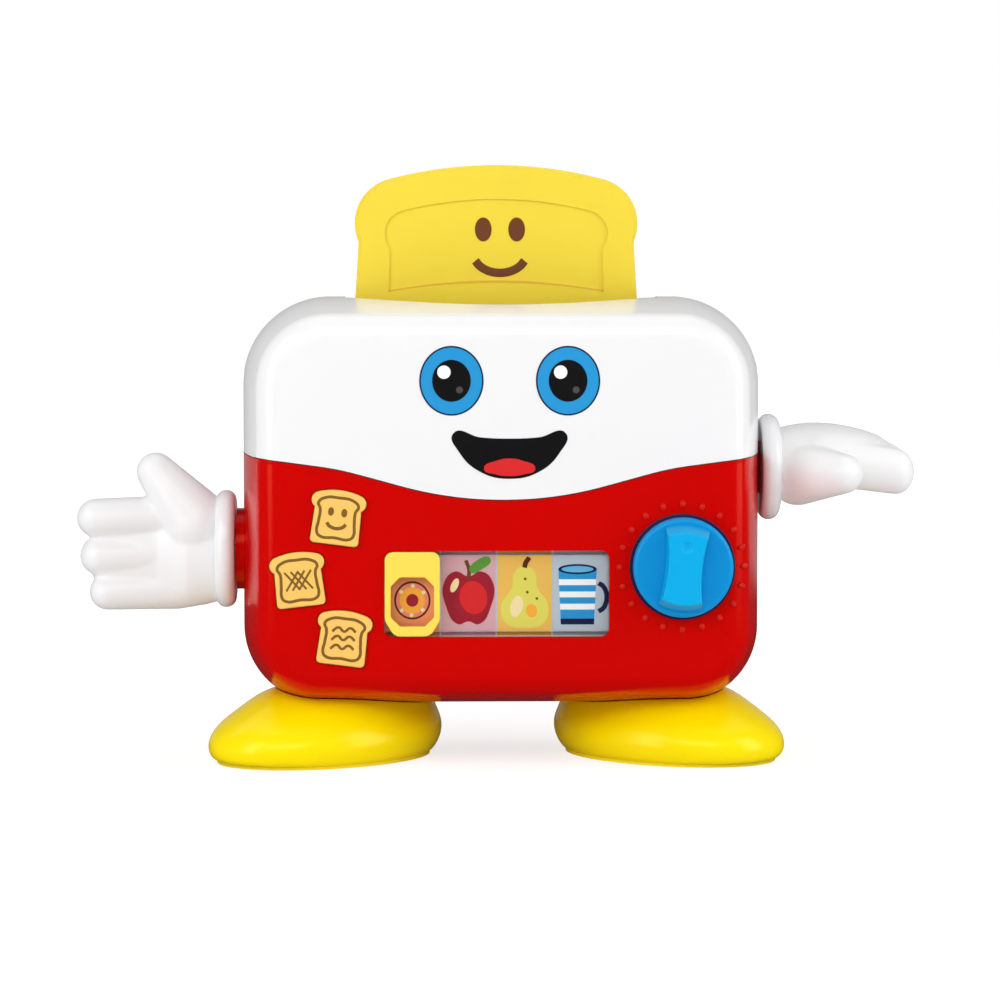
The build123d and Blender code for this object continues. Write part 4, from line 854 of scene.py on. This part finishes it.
@dataclass
class GloveHand:
    """A plump moulded glove, blended from a palm and four fingers.

    Attributes:
        name: Name of the piece.
        node: The solid that it stands for.
        body: The body that it rides on.
        wrist: Centre of the cuff's outer face.
        along: Direction of the fingers.
        thumbwards: Direction of the thumb.
        backwards: Direction of the back of the hand.
        palm: Ovals along the palm: how far out, towards the thumb, to the back, half width, half thickness.
        fingers: The three fingers and the thumb.
        stretch: Length of the hand as a share of its full length.
        voxel: Size of the cells that the lumps are blended in.
        rounds: How often the blend is softened.
        swell: How much the lumps are made thicker, because softening thins them.
    """

    name: str
    node: str
    body: str
    wrist: Point3
    along: Point3
    thumbwards: Point3
    backwards: Point3
    palm: tuple[tuple[float, float, float, float, float], ...] = (
        (-5.0, -0.5, 1.0, 19.0, 12.8),
        (4.0, -0.6, 1.8, 21.2, 14.2),
        (11.0, -1.3, 2.6, 21.8, 14.4),
        (17.0, -1.8, 4.2, 21.8, 12.8),
        (23.0, -2.4, 5.0, 21.4, 11.6),
        (29.0, -2.5, 4.6, 20.6, 11.0),
        (35.0, -2.5, 3.9, 19.2, 10.3),
        (41.0, -2.5, 2.9, 17.4, 9.2),
        (46.0, -2.4, 1.9, 13.5, 6.8),
        (48.5, -2.4, 1.4, 6.0, 2.4),
    )
    fingers: tuple[Finger, ...] = (
        Finger((14.0, 12.2, 3.0), (46.2, 12.0, -1.0), 8.0, 7.2),
        Finger((14.0, -2.6, 4.0), (44.8, -2.6, 0.2), 8.2, 7.5),
        Finger((15.0, -15.6, 3.0), (42.0, -16.6, 0.2), 7.8, 6.8),
        Finger((7.0, 10.0, -1.8), (23.2, 29.8, -1.4), 12.4, 7.2, 1.0),
    )
    stretch: float = 1.0
    voxel: float = 0.7
    rounds: int = 12
    swell: float = 0.3

    def build(self) -> None:
        """Models the hand with its fingers along X, then carries it to its wrist."""
        lumps = [self.palm_lump()]
        for finger in self.fingers:
            lumps.extend(self.finger_lumps(finger))
        hand = join(self.name, lumps)
        modify(hand, "REMESH", mode="VOXEL", voxel_size=self.voxel * MM)
        modify(hand, "SMOOTH", factor=0.5, iterations=self.rounds)
        ways = Matrix((Vector(self.along) * self.stretch, self.thumbwards, self.backwards)).transposed()
        hand.matrix_world = Matrix.Translation(Vector(self.wrist) * MM) @ ways.to_4x4()
        settle(hand)
        wear(hand, Look.GLOVE)
        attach(hand, self.body)
        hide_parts(self.node)
        LOG.info("hand %s, %d faces", hand.name, len(hand.data.polygons))

    def palm_lump(self) -> Object:
        """Draws an oval out ring by ring from the wrist, closed at both ends.

        Returns:
            The palm.
        """
        facing = (0.0, math.pi / 2, 0.0)
        circle = {"vertices": 48, "radius": MM, "fill_type": "NGON", "rotation": facing}
        lump = primitive(bpy.ops.mesh.primitive_circle_add, **circle)
        settle(lump)
        with editing(lump):
            out, across, up, wide, thick = self.palm[0]
            bpy.ops.transform.resize(value=(1.0, wide, thick))
            bpy.ops.transform.translate(value=(out * MM, across * MM, up * MM))
            for before, ring in zip(self.palm, self.palm[1:]):
                step = tuple((ring[i] - before[i]) * MM for i in range(3))
                bpy.ops.mesh.extrude_region_move(TRANSFORM_OT_translate={"value": step})
                growth = (1.0, ring[3] / before[3], ring[4] / before[4])
                centre = tuple(ring[i] * MM for i in range(3))
                bpy.ops.transform.resize(value=growth, center_override=centre)
        return lump

    def finger_lumps(self, finger: Finger) -> list[Object]:
        """Makes a finger of a ball at each end and a cone between them.

        Args:
            finger: The finger.

        Returns:
            Its three lumps.
        """
        start, end = Vector(finger.root) * MM, Vector(finger.end) * MM
        thick, slim = (finger.thick + self.swell) * MM, (finger.slim + self.swell) * MM
        ball, cone = bpy.ops.mesh.primitive_uv_sphere_add, bpy.ops.mesh.primitive_cone_add
        lumps = [
            primitive(ball, segments=40, ring_count=24, radius=radius, location=centre)
            for centre, radius in ((start, thick), (end, slim))
        ]
        way = (end - start).normalized()
        lean = (thick - slim) / (end - start).length
        level = math.sqrt(1.0 - lean * lean)
        low, high = start + way * thick * lean, end + way * slim * lean
        between = {
            "vertices": 40,
            "radius1": thick * level,
            "radius2": slim * level,
            "depth": (high - low).length,
            "location": (low + high) / 2,
            "rotation": way.to_track_quat("Z", "Y").to_euler(),
        }
        lumps.append(primitive(cone, **between))
        for lump in lumps:
            settle(lump)
            with editing(lump):
                middle = tuple((start + end) / 2)
                bpy.ops.transform.resize(value=(1.0, 1.0, finger.deep), center_override=middle)
        return lumps


# ---- springs and rubber domes
@dataclass(frozen=True)
class GivingPiece:
    """A spring or a rubber dome of the housing, modelled after its solid.

    Attributes:
        name: Name of the piece.
        node: The solid that it stands for.
        joint: The joint that presses it. Not used.
        travel: How far that joint goes, in millimetres.
        along: Which way it flattens: 1 is depth and 2 is height.
        foot: Whether it stands on its low end (min) or its high end (max).
        look: Its finish, named after its material slot.
    """

    name: str
    node: str
    joint: str
    travel: float
    along: int
    foot: str
    look: Look

    def build(self) -> None:
        """Models the piece after its solid and works out how much of its height it keeps when pressed
        through the joint's travel.
        """
        piece = put(self.name, frame["nodes"][self.node].data.copy())
        piece.data.name = self.name
        wear(piece, self.look, PRINT_CREASE)
        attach(piece, "housing")
        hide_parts(self.node)
        reach = [vertex.co[self.along] for vertex in piece.data.vertices]
        height = max(reach) - min(reach)
        axis, anchor = [0.0, 0.0, 0.0], [0.0, 0.0, 0.0]
        axis[self.along] = 1.0
        anchor[self.along] = min(reach) if self.foot == "min" else max(reach)
        keep = (height - self.travel * MM) / height
        tuple(axis)
        tuple(anchor)
        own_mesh(piece)
        LOG.info("giving piece %s, keeps %.2f", piece.name, keep)


# ---- trim on the housing
def trim(obj: Object, look: Look, slot: str) -> None:
    """Dresses a piece and lets it ride on the housing.

    Args:
        obj: The piece.
        look: Its finish.
        slot: The record's material slot. Not used.
    """
    wear(obj, look, TRIM_CREASE)
    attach(obj, "housing")
    LOG.info("trim %s", obj.name)


@dataclass
class Dial:
    """Dark ring round the timer knob, painted shadow for the gap under the knob, and the rounded marks round
    it, painted lighter than the red as a highlight.

    Attributes:
        centre: The knob's axis, X and Z in millimetres.
        seat: Inner and outer radius of the ring of painted shadow.
        seat_depth: How far the ring of painted shadow stands off the wall.
        marks: How many marks there are.
        circle: Radius that the marks stand on.
        mark: Length, width and height of a mark.
    """

    centre: Point2 = (67.0, 75.9)
    seat: Point2 = (17.0, 19.9)
    seat_depth: float = 0.4
    marks: int = 20
    circle: float = 23.6
    mark: Point3 = (2.9, 2.1, 0.7)

    def build(self) -> None:
        """Makes the ring of painted shadow and the marks on the ground plane and carries them to the front
        wall.
        """
        # The navy ring is painted shadow for the gap under the knob; the marks are painted lighter as a
        # highlight
        seat = self.make_seat(), Look.INK_NAVY, "knob_blue"
        for piece, look, slot in (seat, (self.make_marks(), Look.MARK, "red_plastic")):
            piece.rotation_euler = (math.pi / 2, 0.0, 0.0)
            piece.location = (self.centre[0] * MM, FRONT * MM, self.centre[1] * MM)
            settle(piece)
            follow(piece, "front_housing", only_back=True)
            trim(piece, look, slot)

    def make_seat(self) -> Object:
        """Makes a flat dark ring with a soft outer edge, painted shadow for the gap under the knob.

        Returns:
            The ring.
        """
        inner, outer = self.seat
        thick = self.seat_depth * MM
        add = bpy.ops.mesh.primitive_cylinder_add
        ring = primitive(add, vertices=128, radius=outer * MM, depth=thick, location=(0.0, 0.0, thick / 2))
        ring.name = ring.data.name = "knob_shadow_ring"
        settle(ring)
        with editing(ring):
            pick_caps(ring)
            bpy.ops.mesh.inset(thickness=(outer - inner) * MM)
            bpy.ops.mesh.bridge_edge_loops()
            bpy.ops.mesh.select_all(action="SELECT")
            bpy.ops.mesh.bevel(offset=0.12 * MM, segments=2, affect="EDGES", clamp_overlap=True)
        return ring

    def make_marks(self) -> Object:
        """Makes one rounded mark, copies it round the knob and joins the copies.

        Returns:
            All marks as one object.
        """
        length, width, height = self.mark
        first = primitive(bpy.ops.mesh.primitive_uv_sphere_add, segments=24, ring_count=12, radius=MM)
        floor = {"plane_co": (0.0, 0.0, -0.1 * MM), "plane_no": (0.0, 0.0, 1.0)}
        with editing(first):
            bpy.ops.transform.resize(value=(length / 2, width / 2, height))
            bpy.ops.mesh.bisect(**floor, use_fill=True, clear_inner=True)
            bpy.ops.mesh.select_all(action="SELECT")
            bpy.ops.transform.translate(value=(self.circle * MM, 0.0, 0.0))
        copies = []
        for i in range(self.marks):
            copy = put("mark", first.data.copy())
            copy.rotation_euler = (0.0, 0.0, math.tau * i / self.marks)
            settle(copy)
            copies.append(copy)
        bpy.data.objects.remove(first)
        return join("dial_marks", copies)


@dataclass(frozen=True)
class Wave:
    """Wavy joint of cover and housing, the same on both sides of the middle.

    Attributes:
        low: Height at the middle.
        dip: Radius of the dip in the middle.
        slope: Slope on both sides of the dip, in degrees.
        shoulder: Out from the middle, where the slope starts to ease.
        shoulder_radius: Radius of the easing.
        side_slope: Slope towards the sides, in degrees.
    """

    low: float
    dip: float
    slope: float
    shoulder: float = 200.0
    shoulder_radius: float = 110.0
    side_slope: float = 0.0

    def height(self, x: float) -> float:
        """Finds the joint's height above the floor.

        Args:
            x: From side to side, from the middle, in millimetres.

        Returns:
            The height in millimetres.
        """
        x = abs(x)
        steep, easy = math.radians(self.slope), math.radians(self.side_slope)
        dip_end = self.dip * math.sin(steep)
        if x <= dip_end:
            return self.low + self.dip - math.sqrt(self.dip**2 - x**2)
        dip_top = self.low + self.dip * (1.0 - math.cos(steep))
        if x <= self.shoulder:
            return dip_top + (x - dip_end) * math.tan(steep)
        top = dip_top + (self.shoulder - dip_end) * math.tan(steep)
        middle = self.shoulder + self.shoulder_radius * math.sin(steep)
        centre = top - self.shoulder_radius * math.cos(steep)
        last = middle - self.shoulder_radius * math.sin(easy)
        if x <= last:
            return centre + math.sqrt(self.shoulder_radius**2 - (x - middle) ** 2)
        return centre + self.shoulder_radius * math.cos(easy) + (x - last) * math.tan(easy)


@dataclass
class Seam:
    """Joint of the white cover and the red housing: a thin lip over the front and a dark line all round,
    painted shade for the shadow in the joint.

    Attributes:
        shells: Where the shells meet.
        crest: Where the lip's upper edge runs.
        width: Width of the dark line of painted shade.
        rise: How far the lip stands off the cover.
        sunk: How far the lip reaches into the shells.
        lap: How far the lip reaches down over the housing.
        ends: Where the lip starts and ends, out from the middle.
        inset: How far the line lies in the surface, as a share of its width.
        slot_angle: Half of the gap that the line leaves at the lever's slot, in radians round the body.
        search: How far below and above the joint the walls are looked for.
    """

    shells: Wave = Wave(101.0, 160.0, 11.3)
    crest: Wave = Wave(100.8, 145.0, 15.2, 55.0, 110.0, 7.6)
    width: float = 0.5
    rise: float = 0.16
    sunk: float = 0.5
    lap: float = 0.8
    ends: Point2 = (27.0, 93.5)
    inset: float = 0.3
    slot_angle: float = 0.16
    search: Point2 = (0.2, 0.6)

    def build(self) -> None:
        """Makes the lip and the dark line of painted shade."""
        lips = [self.lip(-1.0), self.lip(1.0)]
        trim(join("housing_lip", lips), Look.RED_PLASTIC, "red_plastic")
        # the dark line is painted shade for the shadow in the joint
        trim(self.line(), Look.PARTING, "red_plastic")

    def lip(self, side: float) -> Object:
        """Makes a strip that covers the cover's lower edge on one side of the middle.

        Args:
            side: -1 for the left of the front and 1 for the right.

        Returns:
            The strip.
        """
        add = bpy.ops.mesh.primitive_grid_add
        strip = primitive(add, x_subdivisions=64, y_subdivisions=6, size=1.0)
        strip.name = "lip_strip"
        start, end = self.ends
        for vertex in strip.data.vertices:
            out = start + (end - start) * (vertex.co.x + 0.5)
            share = vertex.co.y + 0.5
            low, high = self.shells.height(out) - self.lap, self.crest.height(out)
            x = side * out * MM
            above, facing = seen_from_front("upper_cover", x, (high + self.search[1]) * MM)
            below, _ = seen_from_front("front_housing", x, (low - self.search[0]) * MM)
            spot = below.lerp(above, share) + facing * self.rise * MM * min(1.0, 2.0 * share)
            vertex.co = (spot.x, spot.y, (low + (high - low) * share) * MM)
        strip.data.update()
        if strip.data.polygons[0].normal.y > 0.0:
            strip.data.flip_normals()
        modify(strip, "SOLIDIFY", thickness=self.sunk * MM, offset=-1.0)
        return strip

    def height(self, x: float, front: bool) -> float:
        """Finds how high the dark line of painted shade runs: over the lip, and elsewhere along the shells'
        joint.

        Args:
            x: From side to side, in millimetres.
            front: Whether it is on the front.

        Returns:
            The height in millimetres.
        """
        joint = self.shells.height(x)
        if not front or abs(x) > self.ends[1]:
            return joint
        return max(joint, self.crest.height(x) + self.width * self.inset)

    def line(self) -> Object:
        """Draws the dark line of painted shade on the outside of the shells."""
        settings = {"dimensions": "3D", "bevel_depth": self.width * MM / 2, "bevel_resolution": 2}
        return draw("seam_shade_line", [self.points()], "", use_fill_caps=True, **settings)

    def points(self, count: int = 400) -> list[Point3]:
        """Follows the line round the body, from one side of the lever's slot to the other.

        Args:
            count: How many directions are looked in.

        Returns:
            Points a little under the surface, in metres.
        """
        points = []
        for i in range(count):
            angle = self.slot_angle + (math.tau - 2.0 * self.slot_angle) * i / (count - 1)
            aim = Vector((HALF_WIDTH * math.cos(angle), HALF_DEPTH * math.sin(angle), 0.0))
            outside, way = aim * 2.0 + Vector((0.0, MID, 0.0)), (-aim).normalized()
            height = self.height(aim.x, aim.y < 0.0)
            for _ in range(3):
                best = self.nearest(Vector((outside.x, outside.y, height)) * MM, way)
                if best is None:
                    break
                height = self.height(best.x / MM, aim.y < 0.0)
            if best is not None:
                inwards = best + way * (self.width * self.inset * MM)
                points.append((inwards.x, inwards.y, height * MM))
        return points

    def nearest(self, start: Vector, way: Vector) -> Vector | None:
        """Finds the first place where a ray from outside meets any of the shells.

        Args:
            start: Where the ray starts, in metres.
            way: Its direction.

        Returns:
            The place, or None where it misses.
        """
        found = None
        for lift in (-self.search[1], self.search[1]):
            source = start + Vector((0.0, 0.0, lift * MM))
            for name in ("upper_cover", "front_housing", "rear_housing"):
                hit, place, _, _ = frame["nodes"][name].ray_cast(source, way)
                if hit and (found is None or (place - source).length < (found - source).length):
                    found = place
        return found


# ---- studio
@dataclass
class Studio:
    """Pale floor, soft lamps and the camera.

    Attributes:
        eye: Where the camera stands, in millimetres.
        aim: The direction that it looks in.
        lens: Focal length on a 36 mm sensor.
        room: Brightness of the room on matte surfaces.
        mirrored: Brightness of the room's front and of its backdrop, in what shiny surfaces mirror.
        backdrop: Where the backdrop starts, as a share of the way to the brightest place.
        floor_share: How much of the floor near the toy, as seen, is its own light.
        floor_light: Strength of that light.
        shadow: How far out the toy's shadow starts to fade and is gone, in metres.
        lamps: Name, place and size in metres, and power of each lamp.
    """

    eye: Point3 = (-34.6, MID - 1335.0, 176.8)
    aim: Point3 = (0.02574, 1.0, -0.0587)
    lens: float = 124.6
    room: float = 0.52
    mirrored: Point2 = (0.025, 0.35)
    backdrop: float = 0.72
    floor_share: float = 0.56
    floor_light: float = 1.3
    shadow: Point2 = (0.16, 0.55)
    lamps: tuple[tuple[str, Point3, Point2, float], ...] = (
        ("left_lamp", (-0.7, -0.55, 0.42), (0.34, 0.84), 3.0),
        ("right_lamp", (0.82, -0.35, 0.42), (0.44, 0.84), 3.4),
        ("front_lamp", (-0.2, -1.8, 1.2), (1.6, 0.7), 9.2),
        ("top_lamp", (0.0, 0.2, 1.6), (1.5, 0.8), 2.6),
    )

    def build(self) -> None:
        """Sets up the camera, the floor, the lamps and the room."""
        data = bpy.data.cameras.new("camera")
        adjust(data, lens=self.lens, sensor_width=36.0, clip_start=0.01, clip_end=50.0)
        camera = put("camera", data)
        camera.location = Vector(self.eye) * MM
        camera.rotation_euler = looking(Vector(self.aim))
        bpy.context.scene.camera = camera
        self.floor()
        for name, place, (size, size_y), power in self.lamps:
            data = bpy.data.lights.new(name, "AREA")
            adjust(data, shape="RECTANGLE", size=size, size_y=size_y, energy=power)
            lamp = put(name, data)
            lamp.location = place
            lamp.rotation_euler = looking(Vector((0.0, 0.0, 0.1)) - lamp.location)
        self.world()
        bpy.context.scene.view_settings.view_transform = "Standard"

    def floor(self) -> None:
        """Lays a pale floor that stays light in the view and keeps the shadow."""
        plane = primitive(bpy.ops.mesh.primitive_plane_add, size=14.0)
        plane.name = "floor"
        made = bpy.data.materials.new("pale_floor")
        made.use_nodes = True
        tree = made.node_tree
        tree.nodes.clear()
        ray = add_node(tree, "LightPath")
        seen, glossy = ray["Is Camera Ray"], ray["Is Glossy Ray"]
        matte = add_node(tree, "BsdfDiffuse", {"Color": (0.9, 0.9, 0.9, 1.0)})[0]
        strength = self.brightness(tree, glossy, self.floor_light, "Object", 0.9)
        light = add_node(tree, "Emission", {"Color": PURE_WHITE, "Strength": strength})[0]
        share = {0: seen, 1: self.far_share(tree), 2: glossy}
        mix = {"Fac": add_node(tree, "Math", share, operation="MULTIPLY_ADD")[0], 1: matte, 2: light}
        add_node(tree, "OutputMaterial", {"Surface": add_node(tree, "MixShader", mix)[0]})
        plane.data.materials.append(made)

    def far_share(self, tree: Tree) -> Socket:
        """Share of the floor's own light: lower near the toy, where its shadow lies, and full far away."""
        away = add_node(tree, "VectorMath", {0: add_node(tree, "TexCoord")["Object"]}, operation="LENGTH")
        return self.grow(tree, away["Value"], self.shadow, (self.floor_share, 1.0))

    def world(self) -> None:
        """Fills the room with even white light and shows white behind the toy."""
        world = bpy.data.worlds.new("room")
        bpy.context.scene.world = world
        world.use_nodes = True
        tree = world.node_tree
        tree.nodes.clear()
        ray = add_node(tree, "LightPath")
        strength = self.brightness(tree, ray["Is Glossy Ray"], self.room, "Generated", 1.0)
        room, seen = (
            add_node(tree, "Background", {"Color": PURE_WHITE, "Strength": power})[0]
            for power in (strength, 1.0)
        )
        mix = add_node(tree, "MixShader", {"Fac": ray["Is Camera Ray"], 1: room, 2: seen})
        add_node(tree, "OutputWorld", {"Surface": mix[0]})

    def brightness(self, tree: Tree, glossy: Socket, even: float, coordinates: str, reach: float) -> Socket:
        """How bright a surface or the room is: even, and pale behind the toy in what shiny pieces mirror.

        Args:
            tree: The nodes that it joins.
            glossy: Whether a shiny piece mirrors it.
            even: Its brightness otherwise.
            coordinates: Which coordinates give the front and the back.
            reach: How far back, along Y, the backdrop is at its brightest.

        Returns:
            The socket with the brightness.
        """
        back = depth(tree, add_node(tree, "TexCoord")[coordinates])
        mirrored = self.grow(tree, back, (self.backdrop * reach, reach), self.mirrored)
        return add_node(tree, "Mix", {"Factor": glossy, "A": even, "B": mirrored})["Result"]

    def grow(self, tree: Tree, value: Socket, start: Point2, end: Point2) -> Socket:
        """Leads one span of values softly over into another."""
        inputs = dict(zip(("Value", "From Min", "From Max", "To Min", "To Max"), (value, *start, *end)))
        return add_node(tree, "MapRange", inputs, interpolation_type="SMOOTHSTEP")["Result"]


def looking(way: Vector) -> Euler:
    """The turn of a camera or a lamp that looks one way."""
    return way.to_track_quat("-Z", "Y").to_euler()


def main() -> None:
    """Builds the studio and every piece in order."""
    logging.basicConfig(level=logging.INFO, format="%(name)s: %(message)s")
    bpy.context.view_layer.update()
    for group in (Studio(), Wardrobe(), CoverFace(), TrayArt(), ButtonArt(), SliceFace(), Dial(), Seam()):
        group.build()
    GivingPiece("spring_pair", "lift_springs", "lever_slide", LEVER_TRAVEL, 2, "min", Look.STEEL).build()
    for place in ("top", "middle", "bottom"):
        node, joint = f"rubber_dome_{place}", f"button_{place}_press"
        GivingPiece(f"dome_{place}", node, joint, BUTTON_TRAVEL, 1, "max", Look.RUBBER_GREY).build()
    left = (-109.6, MID, 79.9), (-1.0, 0.0, 0.0), (0.0, 0.0, 1.0), (0.0, 1.0, 0.0)
    GloveHand("glove_left", "left_hand", "turning_hand", *left).build()
    lever = (107.3, MID, 111.3), (1.0, 0.0, 0.0), (0.0, -1.0, 0.0), (0.0, 0.0, 1.0)
    GloveHand("glove_lever", "lever_hand", "carriage", *lever, stretch=0.955).build()
    deselect()


if __name__ == "__main__":
    main()
